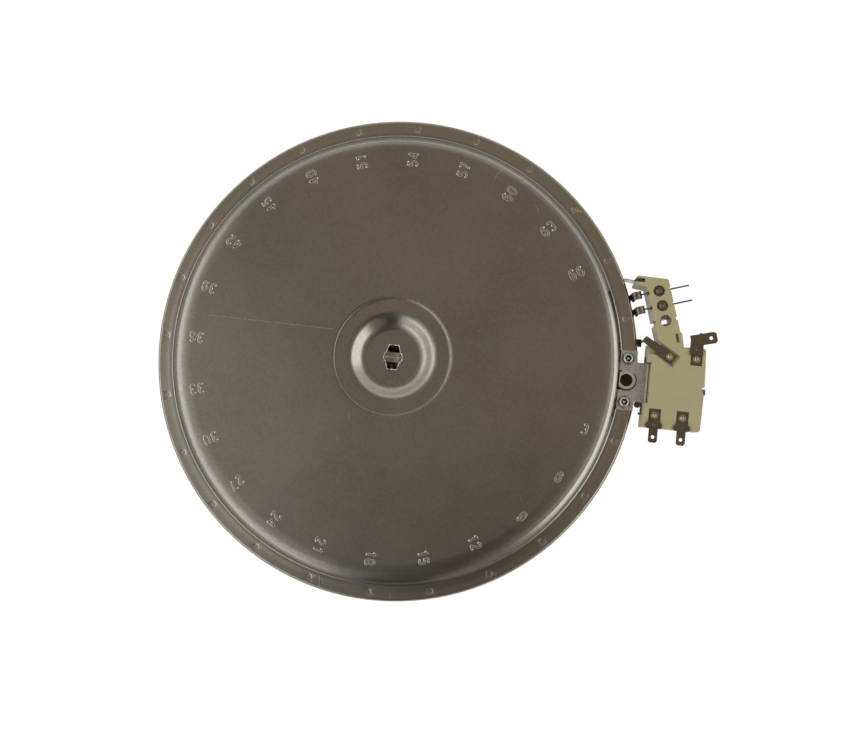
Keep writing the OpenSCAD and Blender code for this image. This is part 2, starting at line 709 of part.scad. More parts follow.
// Leaf on edge that ties the end of the arm to the pan's wall
anchor_y = outer_hole[1] + 5;
anchor_x = sqrt(pan_r * pan_r - pow(anchor_y + 0.9, 2)) + 0.1;
anchor_x2 = outer_hole[0] - 8.6;
module arm_anchor() {
    d = [anchor_x2 - anchor_x, -1.2];
    color("#8d8a84")
    translate([anchor_x, anchor_y + 1.2, 0]) rotate([0, 0, atan2(d[1], d[0])])
        box([0, -0.25, flange_z - 9], [norm(d), 0.25, flange_z - 0.4]);
}

// Plan of the block, with the saddle for the bracket and the notch for the screw
module block_outline() {
    saddle = bracket_w / 2 + fit_gap;
    polygon([[block_x, block_y], [block_x2 - 1.3, block_y], [block_x2 - 0.5, block_y + 0.8],
             [block_x2 - 0.1, calibration_y - 2.4], [block_x2 - 1.9, calibration_y + 1.9],
             [block_x2, calibration_y + 2.2],
             [block_x2 - 0.9, block_y2 - 0.8], [block_x2 - 1.7, block_y2], [block_x, block_y2],
             [block_x, bracket_shift + saddle], [block_x + saddle_depth, bracket_shift + saddle],
             [block_x + saddle_depth, bracket_shift - saddle], [block_x, bracket_shift - saddle]]);
}

// Plan of the arm in its own frame: x across it, y along it, origin at its lowest hole
module arm_outline() {
    half = arm_w / 2;
    polygon([[-half, -arm_root], [half, -arm_root], [half + 0.8, -arm_shoulder - 0.8], [half, -arm_shoulder],
             [half, arm_reach - 0.6], [half - 0.4, arm_reach],
             [-half - 3.2, arm_reach + 5.3], [-half - hook_l + 1.2, arm_reach + 4.2],
             [-half - hook_l, arm_reach + 1], [-half, arm_reach - 1.9]]);
}

module in_arm_frame() {
    translate(at_z(arm_hole, 0)) rotate([0, 0, arm_tilt]) children();
}

// Moulded block and arm in one piece: hollow under its roof, with recesses for the terminals
module ceramic_base() {
    color("#b3a678")
    difference() {
        translate([0, 0, block_bot]) linear_extrude(block_h) {
            block_outline();
            in_arm_plan() arm_outline();
        }
        box([cavity_x, cavity_y, block_bot - 1], [cavity_x2, cavity_y2, roof_z]);
        arm_cuts();
        terminal_recesses();
        for (p = [strap_at, power_at, signal_left, signal_right])
            translate(at_z(p, roof_z - 1)) cylinder(d = rivet_d + 0.1, h = roof_t + 2);
        along_x([cavity_x2 - 1, calibration_y, calibration_z], 3.1, 8);
    }
}

module in_arm_plan() {
    translate(arm_hole) rotate(arm_tilt) children();
}

// Holes, wire slots and edge notches of the arm
module arm_cuts() {
    half = arm_w / 2;
    slit_w = 1.6;
    slot_top = wire_z + slot_w / 2;
    in_arm_frame() {
        for (i = [0:2]) translate([0, i * hole_pitch, 0]) {
            translate([0, 0, block_top - hole_depth]) cylinder(d = hole_d, h = hole_depth + 1);
            box([-half - 1, -slot_w / 2, slot_top - slot_w], [half + 2, slot_w / 2, slot_top]);
            box([-half - 1, -0.9, slot_top - 0.1], [-half + 0.7, 0.9, block_top + 1]);
            box([half - 0.7, -0.9, slot_top - 0.1], [half + 2, 0.9, block_top + 1]);
        }
        box([-half - 1, -1.2, block_bot - 1], [-half + 1.6, 1.2, slot_top]);
        box([-2, -1.4, block_bot - 1], [2.8, 1.8, slot_top]);
        box([half - slit_w - 1.4, -arm_shoulder - 5.4, block_top - 1.5 * recess_depth],
            [half - 1.4, -arm_shoulder - 0.6, block_top + 1]);
    }
    box([anchor_x2 - 8, anchor_y - 1, block_bot - 1], [anchor_x2 + 0.6, anchor_y + 1.1, block_top + 1]);
}

// Sunk places for the strap and the three tabs, and the lowered corner under the strap
module terminal_recesses() {
    over = recess_depth + 1;
    translate(at_z(strap_at, recess_z)) rotate([0, 0, strap_dir])
        box([-4.6, -strap_w / 2 - 0.9, 0], [strap_run + 4, strap_w / 2 + 0.9, over]);
    box([block_x - 1, strap_at[1] + 0.7, recess_z - 1], [block_x + 5.2, block_y2 + 1, block_top + 1]);
    translate(at_z(power_at, recess_z)) box([-3.1, -3.5, 0], [3.1, 3, over]);
    for (p = [signal_left, signal_right])
        translate(at_z(p, recess_z)) box([-3.1, -2.2 - tab_t, 0], [3.3, 3.7, over]);
}

// Lower half of the switch housing, open towards the block
module ceramic_cover() {
    color("#b9ae86")
    difference() {
        box([cover_x, cover_y, cover_z], [cover_x2, cover_y2, block_bot]);
        box([cover_x + wall_t, cover_y + wall_t, cover_z + 1.5],
            [cover_x2 - wall_t, cover_y2 - wall_t, block_bot + 1]);
        along_x([cover_x - 1, 0, tube_z], tube_d + 0.2, wall_t + 2);
    }
}

// Solid under the pan's step with a little air over it, cut from what lies against the step
module step_clearance() {
    rotate_extrude($fn = 180) polygon(concat([[step_top_r, flange_z - 1]],
        [for (r = step_radii) [r, pan_face(r) + 0.2]],
        [[step_foot_r + 0.6, flange_z], [step_foot_r + 0.6, flange_z - 1]]));
}

// Bent sheet bracket: two ears and a drawn collar on the flange, an upright in the saddle
module limiter_bracket() {
    top = flange_z + bracket_t;
    foot = tube_z - tube_d / 2 - 1.4;
    out_r = bracket_t + 0.4;
    color("#8b8880")
    difference() {
        union() {
            translate([0, bracket_shift + bracket_w / 2, 0]) rotate([90, 0, 0])
                linear_extrude(bracket_w) polygon(concat(
                [[bracket_x, flange_z], [bracket_x, top]],
                [for (a = [90:-15:0]) [upright_x2 - out_r, top - out_r] + polar(out_r, a)],
                [[upright_x2, foot], [upright_x, foot]],
                [for (a = [0:30:90]) [upright_x2 - out_r, top - out_r] + polar(out_r - bracket_t, a)]));
            for (s = [0, 1]) mirror([0, s, 0])
                box([ear_x, ear_inner_y, flange_z], [ear_x2, ear_span / 2, top]);
            translate([collar_x, 0, flange_z]) cylinder(d = collar_d, h = bracket_t + collar_h);
        }
        translate([collar_x, 0, flange_z - 1]) cylinder(d = collar_bore, h = bracket_t + collar_h + 2);
        step_clearance();
        box([ear_x - 3, -ear_inner_y, flange_z - 1],
            [collar_x - collar_bore / 2 - 0.35, ear_inner_y, top + collar_h + 1]);
        for (s = [-1, 1]) translate([collar_x, s * screw_pitch / 2, flange_z - 1])
            cylinder(d = screw_d + 0.2, h = bracket_t + 2);
        along_x([upright_x - 1, 0, tube_z], tube_d + 0.4, bracket_t + 2);
    }
}

// Domed fixing screw with a six-lobed drive
module bracket_screw(side) {
    seat = flange_z + bracket_t;
    head_h = 2.3;
    recess = 2;
    half = screw_head_d / 2;
    color("#b7bab8")
    translate([collar_x, side * screw_pitch / 2, seat]) difference() {
        union() {
            rotate_extrude() polygon(concat([[0, 0], [half, 0], [half, 0.5]],
                [for (u = [0.2:0.2:1]) [half * (1 - 0.5 * u), 0.5 + (head_h - 0.5) * sin(90 * u)]], [[0, head_h]]));
            translate([0, 0, -6]) cylinder(d = screw_d, h = 6.2);
        }
        translate([0, 0, head_h - recess]) rotate_extrude()
            polygon([[0, 0.6], [1.4, -0.3], [1.4, recess + 1], [0, recess + 1]]);
        for (a = [0:60:300]) rotate([0, 0, a]) translate([1.35, 0, head_h - recess])
            cylinder(d = 1, h = recess + 1);
    }
}

module bracket_screw_upper() { bracket_screw(1); }

module bracket_screw_lower() { bracket_screw(-1); }

// Spring leaf between the bracket and the block, with a round lug at one end
module retaining_leaf() {
    x2 = block_x - 0.15;
    x = x2 - 0.5;
    low = flange_z - 3.2;
    high = flange_z - 0.4;
    lug_y = bracket_low_y - 1.3;
    color("#4a423a") {
        box([x, bracket_low_y - 6.6, low], [x2, bracket_low_y + bracket_w + 3.6, high]);
        box([x - 1.8, lug_y - 0.8, high - 0.8], [x + 0.2, lug_y + 0.8, high]);
        translate([x - 1.8, lug_y, high - 0.8]) cylinder(d = 3.6, h = 0.8);
        box([x - 0.8, bracket_low_y - 6.6, low], [x + 0.2, bracket_low_y - 5.4, high - 0.6]);
    }
}

// Rivet through a terminal, the roof and a contact strip
module rivet(at, pad_t) {
    top = recess_z + pad_t;
    under = roof_z - strip_t;
    color("#9a8f7c")
    translate(at_z(at, 0)) difference() {
        union() {
            translate([0, 0, under - 0.7]) cylinder(d = rivet_head_d - 0.6, h = 0.7);
            translate([0, 0, under - 0.1]) cylinder(d = rivet_d, h = top - under + 0.2);
            translate([0, 0, top]) cylinder(d = rivet_head_d, h = 0.7);
        }
        translate([0, 0, top + 1.7]) sphere(r = 1.4);
    }
}

module strap_rivet() { rivet(strap_at, lead_t); }

module power_rivet() { rivet(power_at, tab_t); }

module signal_rivet_left() { rivet(signal_left, tab_t); }

module signal_rivet_right() { rivet(signal_right, tab_t); }

// Angled blade terminal for the mains lead
power_dir = 15;
module power_tab() {
    w = 7;
    reach = 10.5;
    root = power_at + [-0.4, 10.3];
    color("#55483a")
    difference() {
        union() {
            translate(at_z(power_at, recess_z)) box([-2.9, -3.3, 0], [2.9, 2.9, tab_t]);
            translate(at_z(power_at, recess_z)) box([-2.9, 2.1, 0], [2.9, 2.9, recess_depth + tab_t]);
            translate(at_z(power_at, block_top)) box([-w / 2 - 0.5, 2.1, 0], [w / 2 - 0.5, 10.5, tab_t]);
            translate(at_z(root, block_top)) rotate([0, 0, power_dir]) linear_extrude(tab_t)
                polygon([[-w / 2, -3], [-w / 2, power_tab_w / 2], [reach - 1.2, power_tab_w / 2],
                         [reach, power_tab_w / 2 - 1], [reach, 1 - power_tab_w / 2],
                         [reach - 1.2, -power_tab_w / 2]]);
            translate(at_z(root + [1.6, 3.4], block_top)) cylinder(d = 1.6, h = tab_t);
        }
        translate(at_z(power_at, recess_z - 1)) cylinder(d = rivet_d + 0.1, h = 4);
        translate(at_z(root + polar(7.3, power_dir), block_top - 1)) cylinder(d = 2, h = 4);
        translate(at_z(power_at + [-0.4, 5.2], block_top - 1)) cylinder(d = 1.6, h = 4);
    }
}

// Blade terminal of the residual-heat switch; it points away from the arm
module signal_tab(at) {
    shoulder = 4.4;
    half = signal_tab_w / 2;
    foot = -7.1;
    tip = foot - signal_tab_l;
    color("#55483a")
    translate(at_z(at, 0)) difference() {
        union() {
            box([-2.9, -2.1 - tab_t, recess_z], [2.9, 3.4, recess_z + tab_t]);
            box([-2.9, -2.1 - tab_t, recess_z], [2.9, -2.1, block_top + tab_t]);
            translate([0, 0, block_top]) linear_extrude(tab_t)
                polygon([[-2.9, -2.1], [-3.2, -3.2], [-shoulder, -4.6], [-shoulder, foot + 0.8],
                         [-shoulder + 0.8, foot], [-half, foot], [-half, tip + 1], [-half + 0.9, tip],
                         [half - 0.9, tip], [half, tip + 1], [half, foot], [shoulder - 0.8, foot],
                         [shoulder, foot + 0.8], [shoulder, -4.6], [3.2, -3.2], [2.9, -2.1]]);
        }
        translate([0, 0, recess_z - 1]) cylinder(d = rivet_d + 0.1, h = 4);
        translate([0, foot - 4.5, block_top - 1]) cylinder(d = 1.9, h = 4);
        translate([0, -5, block_top + tab_t + 0.5]) sphere(d = 2);
    }
}

module signal_tab_left() { signal_tab(signal_left); }

module signal_tab_right() { signal_tab(signal_right); }

module limiter_tube() {
    color("#d9d6cc")
    difference() {
        along_x([tube_x, 0, tube_z], tube_d, tube_x2 - tube_x);
        along_x([tube_x - 1, 0, tube_z], tube_bore, tube_x2 - tube_x + 2);
    }
}

// Metal wire inside the tube: it grows more than the quartz as the heater warms
module expansion_wire() {
    color("#8a8078") along_x([tube_x - 4, 0, tube_z], expander_d, disc_x - tube_x + 4);
}

module end_nut() {
    color("#a8a69e")
    difference() {
        translate([tube_x - 3, 0, tube_z]) rotate([0, 90, 0]) cylinder(d = tube_d - 0.2, h = 3, $fn = 6);
        along_x([tube_x - 4, 0, tube_z], expander_d + 0.1, 6);
    }
}

// Coil that keeps the wire in tension between the tube's end and the cup
spring_turns = 4;
spring_wire = 0.7;
module return_spring() {
    mid_r = (tube_bore + tube_d) / 4;
    steps = 16 * spring_turns;
    sides = 6;
    first = tube_x2 + spring_wire / 2 + 0.05;
    rise = (cup_x - tube_x2 - spring_wire - 0.1) / steps;
    color("#7d7a74") loft([for (i = [0:steps]) for (k = [0:sides - 1])
        let (a = i * 360 / 16, r = mid_r + spring_wire / 2 * cos(k * 360 / sides))
        [first + i * rise + spring_wire / 2 * sin(k * 360 / sides), r * cos(a), tube_z + r * sin(a)]], sides);
}

module spring_cup() {
    color("#a8a69e")
    difference() {
        along_x([cup_x, 0, tube_z], tube_d - 0.8, disc_x - cup_x);
        along_x([cup_x - 1, 0, tube_z], expander_d + 0.1, disc_x - cup_x + 2);
    }
}

// Ceramic disc that the wire carries against the two moving blades
module push_disc() {
    color("#e6e1d4") along_x([disc_x, 0, tube_z], tube_d, blade_x - strip_t - fit_gap - disc_x);
}

// Contact strip: a pad under a rivet, an arm along the roof and a leg with a contact button.
// side is the side of the limiter's axis, face is the way its button points
module contact_strip(at, leg_x, side, face) {
    z2 = roof_z;
    z = z2 - strip_t;
    y = side * 1.4;
    y2 = side * (1.4 + strip_w);
    pad = at[1] + side * strip_w / 2;
    leg_x2 = leg_x - face * strip_t;
    button = (fixed_x - blade_x - contact_gap) / 2;
    color("#b08d57")
    difference() {
        union() {
            box([at[0] - strip_w / 2, min(y, pad), z], [at[0] + strip_w / 2, max(y, pad), z2]);
            box([min(at[0] - strip_w / 2, leg_x2), min(y, y2), z],
                [max(at[0] + strip_w / 2, leg_x2), max(y, y2), z2]);
            box([min(leg_x, leg_x2), min(y, y2), tube_z - 1.8], [max(leg_x, leg_x2), max(y, y2), z2]);
            translate([leg_x, (y + y2) / 2, tube_z + 6]) rotate([0, face * 90, 0]) cylinder(d = 2.2, h = button);
        }
        translate([at[0], at[1], z - 1]) cylinder(d = rivet_d + 0.1, h = 3);
    }
}

module limit_blade() { contact_strip(strap_at, blade_x, 1, 1); }

module limit_contact() { contact_strip(power_at, fixed_x, 1, -1); }

module signal_blade() { contact_strip(signal_left, blade_x, -1, 1); }

module signal_contact() { contact_strip(signal_right, fixed_x, -1, -1); }

// Screw through the block's end wall that sets the fixed contact
module calibration_screw() {
    color("#6e6252")
    union() {
        along_x([fixed_x + strip_t, calibration_y, calibration_z], 3, block_x2 - fixed_x - strip_t);
        along_x([block_x2 - 0.25, calibration_y, calibration_z], 3.6, 2.2);
    }
}

pan();
base_insulation();
rim_ring();
divider_ring();
outer_ribbon();
inner_ribbon();
heater_strap();
outer_lead();
inner_lead();
outer_wire();
inner_wire();
outer_splice();
inner_splice();
arm_anchor();
ceramic_base();
ceramic_cover();
limiter_bracket();
bracket_screw_upper();
bracket_screw_lower();
retaining_leaf();
strap_rivet();
power_tab();
power_rivet();
signal_tab_left();
signal_rivet_left();
signal_tab_right();
signal_rivet_right();
limiter_tube();
expansion_wire();
end_nut();
return_spring();
spring_cup();
push_disc();
limit_blade();
limit_contact();
signal_blade();
signal_contact();
calibration_screw();
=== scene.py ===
# %% [markdown]
# The looks of a dual-circuit radiant heating element, seen from the back of its steel pan.
# The construction comes in as a fixed frame: every solid already lies at its real size and
# place, in metres, glass side down on z = 0 with the pan's axis at the origin. This notebook
# adds the finish of every surface, soft edges on the pressed and moulded pieces, the stamped
# numbers round the plate and the thin corrugated heating ribbons.

# %% Load the frame
import json
import math

import bmesh
import bpy
from mathutils import Matrix, Vector


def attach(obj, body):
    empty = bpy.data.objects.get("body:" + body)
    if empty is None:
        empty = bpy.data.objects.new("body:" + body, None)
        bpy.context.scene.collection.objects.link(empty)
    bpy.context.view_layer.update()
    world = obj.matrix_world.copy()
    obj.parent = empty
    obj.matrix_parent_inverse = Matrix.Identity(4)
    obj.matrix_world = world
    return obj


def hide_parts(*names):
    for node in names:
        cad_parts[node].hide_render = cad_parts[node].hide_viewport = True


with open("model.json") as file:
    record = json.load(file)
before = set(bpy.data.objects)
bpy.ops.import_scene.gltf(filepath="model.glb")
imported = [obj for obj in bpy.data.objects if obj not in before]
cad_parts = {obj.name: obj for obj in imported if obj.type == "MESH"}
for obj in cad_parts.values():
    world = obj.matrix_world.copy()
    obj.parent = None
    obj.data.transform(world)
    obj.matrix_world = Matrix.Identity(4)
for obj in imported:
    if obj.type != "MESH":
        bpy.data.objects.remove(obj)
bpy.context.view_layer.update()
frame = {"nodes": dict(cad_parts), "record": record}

MM = 0.001
scene = bpy.context.scene
print("pieces in the frame:", len(frame["nodes"]))

# %% [markdown]
# The camera stands where the photographer's did: almost straight above the plate, a little to
# the right and below its middle. Its place, the point that it looks at and a small roll were
# worked out from the pan's rims, so the rest of the scene needs no guessing.

# %% Camera
CAMERA_AT = Vector((70.53, -47.17, 613.25)) * MM
CAMERA_AIM = Vector((17.11, -8.69, 26.3)) * MM
CAMERA_ROLL = math.radians(6.055)
LENS_MM = 45.8
SENSOR_MM = 36.0


def make_camera():
    camera = bpy.data.objects.new("camera", bpy.data.cameras.new("camera"))
    scene.collection.objects.link(camera)
    forward = (CAMERA_AIM - CAMERA_AT).normalized()
    up = Vector((0, 1, 0))
    up = (up - up.dot(forward) * forward).normalized()
    up = Matrix.Rotation(-CAMERA_ROLL, 3, forward) @ up
    right = forward.cross(up)
    turn = Matrix((right, up, -forward)).transposed()
    camera.matrix_world = Matrix.Translation(CAMERA_AT) @ turn.to_4x4()
    camera.data.lens = LENS_MM
    camera.data.sensor_width = SENSOR_MM
    return camera


scene.camera = make_camera()
scene.view_settings.view_transform = "Standard"
print("camera axes:", [tuple(round(v, 4) for v in row) for row in scene.camera.matrix_world.to_3x3()])

# %% [markdown]
# Every finish is a tree of nodes. Written by hand such a tree is long, so a small class stands
# for one output socket and turns sums on it into Math nodes, and a second one adds any other
# node: its settings are set first, and then its sockets get values or links.

# %% Sums on sockets


class Wire:
    """One output socket. Arithmetic on it adds Math nodes to the same tree."""

    def __init__(self, tree, socket):
        self.tree = tree
        self.socket = socket

    def maths(self, operation, *values):
        return self.tree.node("ShaderNodeMath", dict(enumerate(values)), operation=operation)

    def root(self):
        return self.maths("SQRT", self)

    def size(self):
        return self.maths("ABSOLUTE", self)

    def __add__(self, other):
        return self.maths("ADD", self, other)

    def __radd__(self, other):
        return self.maths("ADD", other, self)

    def __sub__(self, other):
        return self.maths("SUBTRACT", self, other)

    def __rsub__(self, other):
        return self.maths("SUBTRACT", other, self)

    def __mul__(self, other):
        return self.maths("MULTIPLY", self, other)

    def __rmul__(self, other):
        return self.maths("MULTIPLY", other, self)

    def __truediv__(self, other):
        return self.maths("DIVIDE", self, other)

    def __gt__(self, other):
        return self.maths("GREATER_THAN", self, other)

    def __lt__(self, other):
        return self.maths("LESS_THAN", self, other)

    def at_least(self, other):
        return self.maths("MAXIMUM", self, other)

    def at_most(self, other):
        return self.maths("MINIMUM", self, other)


class Tree:
    """A tree of nodes, for a material, the world or a geometry modifier."""

    def __init__(self, tree):
        self.tree = tree

    def node(self, kind, sockets=None, output=0, stops=None, **settings):
        made = self.tree.nodes.new(kind)
        for name, value in settings.items():
            setattr(made, name, value)
        if stops:
            while len(made.color_ramp.elements) < len(stops):
                made.color_ramp.elements.new(1.0)
            for element, (position, colour) in zip(made.color_ramp.elements, stops):
                element.position = position
                element.color = colour
        for name, value in (sockets or {}).items():
            self.feed(made.inputs[name], value)
        return Wire(self, made.outputs[output]) if made.outputs else None

    def feed(self, socket, value):
        if isinstance(value, Wire):
            self.tree.links.new(value.socket, socket)
        else:
            socket.default_value = value

    def blend(self, factor, low, high):
        """A colour between low and high."""
        return self.node("ShaderNodeMix", {0: factor, 6: low, 7: high}, output=2,
                         data_type="RGBA", clamp_factor=True)

    def fade(self, value, low, high):
        """0 where value is low, 1 where it is high, and smooth between."""
        return self.node("ShaderNodeMapRange", {"Value": value, "From Min": low, "From Max": high},
                         interpolation_type="SMOOTHSTEP")

    def parts(self, vector):
        split = self.node("ShaderNodeSeparateXYZ", {0: vector}, output=0)
        outputs = split.socket.node.outputs
        return [Wire(self, outputs[i]) for i in range(3)]


class Paint(Tree):
    """A material. Its patterns read Object coordinates, which here are metres in the frame."""

    def __init__(self, name, **constants):
        self.material = bpy.data.materials.new(name)
        self.material.use_nodes = True
        super().__init__(self.material.node_tree)
        self.shader = self.tree.nodes["Principled BSDF"]
        for socket, value in constants.items():
            self.shader.inputs[socket.replace("_", " ")].default_value = value
        self.place = self.node("ShaderNodeTexCoord", output="Object")

    def noise(self, size, detail=2.0, roughness=0.5, place=None):
        """Clouds of about the given size in millimetres, from 0 to 1."""
        sockets = {"Vector": place or self.place, "Scale": 1 / (size * MM), "Detail": detail, "Roughness": roughness}
        return self.node("ShaderNodeTexNoise", sockets)

    def stretched(self, x, y, z):
        return self.node("ShaderNodeMapping", {"Vector": self.place, "Scale": (x, y, z)})

    def finish(self, colour, roughness, height=None, depth=0.05, normal=None):
        """Feeds the shader. Height from 0 to 1 becomes a relief of the given depth in millimetres."""
        self.feed(self.shader.inputs["Base Color"], colour)
        self.feed(self.shader.inputs["Roughness"], roughness)
        if height is not None:
            bump = self.node("ShaderNodeBump", {"Height": height, "Distance": depth * MM, "Strength": 1.0})
            if normal is not None:
                self.feed(bump.socket.node.inputs["Normal"], normal)
            self.feed(self.shader.inputs["Normal"], bump)
        return self.material


def srgb(red, green, blue):
    """A colour given from 0 to 255, as the linear colour that a shader wants."""
    def linear(value):
        value /= 255
        return value / 12.92 if value <= 0.04045 else ((value + 0.055) / 1.055) ** 2.4
    return (linear(red), linear(green), linear(blue), 1.0)


def shade(colour, factor):
    return (*(channel * factor for channel in colour[:3]), 1.0)


print("node helpers ready")

# %% [markdown]
# The element lies on a plain white table. Rays from the camera, and rays that a metal or the
# quartz tube sends on, see most of the floor as pure white, and the rest is a normal white
# surface, so a soft shadow stays. In the steel's mirror the white ends a good way off, as a
# sheet of paper would, and a dark room begins. A round opening under the pan lets the light of
# the room reach the ribbons, and the floor is clear from below, so the glass side can be looked
# at too.

# %% Floor
FLOOR_HALF = 6.0
OPENING_R = 0.118
WHITE_SHARE = 0.86
SHEET_REACH = 0.45


def floor_paint():
    material = bpy.data.materials.new("white_table")
    material.use_nodes = True
    paint = Tree(material.node_tree)
    material.node_tree.nodes.clear()
    ray = paint.node("ShaderNodeLightPath", output="Is Camera Ray")
    outputs = ray.socket.node.outputs
    seen = ray.at_least(Wire(paint, outputs["Is Glossy Ray"]))
    seen = seen.at_least(Wire(paint, outputs["Is Transmission Ray"])) * WHITE_SHARE
    x, y, z = paint.parts(paint.node("ShaderNodeTexCoord", output="Object"))
    near = paint.fade((x * x + y * y).root(), SHEET_REACH, SHEET_REACH * 0.8)
    near = near.at_least(1 - Wire(paint, outputs["Is Glossy Ray"]))
    table = paint.node("ShaderNodeBsdfDiffuse", {"Color": (0.9, 0.9, 0.9, 1)})
    glow = paint.node("ShaderNodeEmission", {"Color": (1, 1, 1, 1), "Strength": near * 1.0 + 0.1})
    top = paint.node("ShaderNodeMixShader", {0: seen, 1: table, 2: glow})
    clear = paint.node("ShaderNodeBsdfTransparent")
    below = paint.node("ShaderNodeNewGeometry", output="Backfacing")
    both = paint.node("ShaderNodeMixShader", {0: below, 1: top, 2: clear})
    paint.node("ShaderNodeOutputMaterial", {"Surface": both})
    return material


def make_floor():
    mesh = bpy.data.meshes.new("table")
    work = bmesh.new()
    sides = 64
    rings = []
    for reach in (OPENING_R, FLOOR_HALF):
        rings.append([work.verts.new((reach * math.cos(math.tau * i / sides),
                                      reach * math.sin(math.tau * i / sides), 0)) for i in range(sides)])
    for i in range(sides):
        j = (i + 1) % sides
        work.faces.new((rings[0][i], rings[1][i], rings[1][j], rings[0][j]))
    work.to_mesh(mesh)
    work.free()
    mesh.materials.append(floor_paint())
    table = bpy.data.objects.new("table", mesh)
    scene.collection.objects.link(table)
    return table


table = make_floor()
print("floor faces:", len(table.data.polygons))

# %% [markdown]
# Satin steel shows its surroundings, so the room is painted for what the photo's steel mirrors.
# The room is dim and warm overhead and pale at the horizon. A large white panel on the right
# lights the left wall of the dish and the round of the step. One on the left hangs higher and
# lights the walls that face it, and paler walls stand behind it and at the back. The
# photographer stands on the lower side as a dark strip, which blackens the step there. Behind
# the object stands plain white, for the camera and through the quartz. Below the table's height
# the steel mirrors that white too, and it lights the glass side.

# %% Light
OVERHEAD = (0.44, 0.385, 0.33, 1)
HORIZON = (0.5, 0.53, 0.57, 1)
WHITE = (1, 1, 1, 1)
# Panels: azimuth and half width, then where it starts and ends, in degrees off the vertical,
# how soft its edge is, and how bright it is
PANELS = {
    "back": (90, 62, 46, 78, 8, 1.4),
    "left_low": (192, 62, 50, 80, 8, 1.4),
    "left_high": (214, 50, 12, 44, 7, 0.82),
    "left": (200, 44, 38, 62, 11, 2.5),
    "right": (-7, 36, 40, 74, 8, 3.1),
}
PANEL_COLOUR = (1.0, 1.02, 1.04, 1)
FIGURE_HALF = 0.2
FIGURE_LEVEL = 0.1


def cosine(degrees):
    return math.cos(math.radians(degrees))


def panel_mask(room, x, y, z, azimuth, half, start, end, soft):
    flat = (1 - z * z).at_least(0.0001).root()
    facing = (x * cosine(azimuth) + y * cosine(azimuth - 90)) / flat
    beside = room.fade(facing, cosine(half + soft), cosine(half - soft))
    below = room.fade(z, cosine(end + soft), cosine(end - soft))
    above = room.fade(z, cosine(start - soft), cosine(start + soft))
    return beside * below * above


def make_world():
    world = bpy.data.worlds.new("studio")
    scene.world = world
    world.use_nodes = True
    room = Tree(world.node_tree)
    world.node_tree.nodes.clear()
    x, y, z = room.parts(room.node("ShaderNodeTexCoord", output="Generated"))
    colour = room.blend(room.fade(z, 0.5, 0.1), OVERHEAD, HORIZON)
    for azimuth, half, start, end, soft, level in PANELS.values():
        mask = panel_mask(room, x, y, z, azimuth, half, start, end, soft)
        colour = room.blend(mask, colour, tuple(channel * level for channel in PANEL_COLOUR))
    strip = room.fade(x.size(), FIGURE_HALF + 0.05, FIGURE_HALF - 0.05) * room.fade(y, 0.0, -0.16)
    colour = room.blend(strip, colour, (FIGURE_LEVEL, FIGURE_LEVEL, FIGURE_LEVEL, 1))
    colour = room.blend(room.fade(z, 0.0, -0.1), colour, WHITE)
    ray = room.node("ShaderNodeLightPath", output="Is Camera Ray")
    ray = ray.at_least(Wire(room, ray.socket.node.outputs["Is Transmission Ray"]))
    colour = room.blend(ray, colour, WHITE)
    background = room.node("ShaderNodeBackground", {"Color": colour, "Strength": 1.0})
    room.node("ShaderNodeOutputWorld", {"Surface": background})


make_world()
print("panels:", list(PANELS))

# %% [markdown]
# The pan is drawn from bare sheet steel, a warm dark grey with a satin shine. Its solid has the
# true heights, but its walls start and end in short rounds. In the photo the rounds are longer
# and the light creeps over them, so the finish adds that difference as relief. It is a curve
# over the radius: the height of the softer profile less that of the solid's profile.

# %% Soft profile of the pan
PLATE_Z = 26.3
# Each bend: start, end and drop of the solid's wall with the rounded shares of its two ends, and
# then the same for the softer wall; all in millimetres from the pan's axis
BENDS = [
    ((118.5, 126.8, 6.3, 0.2, 0.12), (113.5, 126.5, 2.06, 0.61, 0.05)),
    ((140.0, 141.0, 0.0, 0.5, 0.5), (121.5, 126.8, 2.19, 0.5, 0.2)),
    ((24.7, 15.0, 4.5, 0.16, 0.16), (25.6, 14.5, 4.5, 0.38, 0.45)),
    ((33.3, 32.2, 0.5, 0.4, 0.4), (34.2, 31.1, 0.48, 0.5, 0.5)),
    ((140.0, 141.0, 0.0, 0.5, 0.5), (133.9, 135.1, 0.6, 1.0, 0.0)),
    ((140.0, 141.0, 0.0, 0.5, 0.5), (126.5, 131.0, 0.2, 0.5, 0.5)),
]
# Faint rings that the pressing tool left on the step's wall: first and last, spacing and height
TOOL_RINGS = (121.5, 126.4, 2.45, 0.03)


def wall(u, first, last):
    """Share of a wall's drop at a place u of its run, 0 to 1, with rounded ends."""
    u = max(0.0, min(1.0, u))
    steep = 2 / (2 - first - last)
    if u < first:
        return steep * u * u / (2 * first)
    if u > 1 - last:
        return 1 - steep * (1 - u) ** 2 / (2 * last)
    return steep * (u - first / 2)


def drop(radius, start, end, height, first, last):
    return -height * wall((radius - start) / (end - start), first, last)


def softening(radius):
    """The softer profile less the solid's, in millimetres."""
    gap = sum(drop(radius, *soft) - drop(radius, *hard) for hard, soft in BENDS)
    first, last, pitch, height = TOOL_RINGS
    if first < radius < last:
        gap += height * math.sin(math.tau * (radius - first) / pitch)
    return gap


def radial_curve(paint, radius, low, high, points=60):
    """softening() between two radii, as a curve node over the radius in millimetres."""
    values = [softening(low + (high - low) * i / points) for i in range(points + 1)]
    reach = max(abs(value) for value in values)
    curve = paint.node("ShaderNodeFloatCurve", {"Value": (radius - low) / (high - low)})
    mapping = curve.socket.node.mapping
    line = mapping.curves[0]
    while len(line.points) < len(values):
        line.points.new(0.5, 0.5)
    for i, value in enumerate(values):
        line.points[i].location = (i / points, 0.5 + value / reach / 2)
    mapping.update()
    return (curve - 0.5) * (2 * reach)


print("softening at the dish wall, mm:", [round(softening(radius), 2) for radius in (16, 18, 20, 22, 24)])
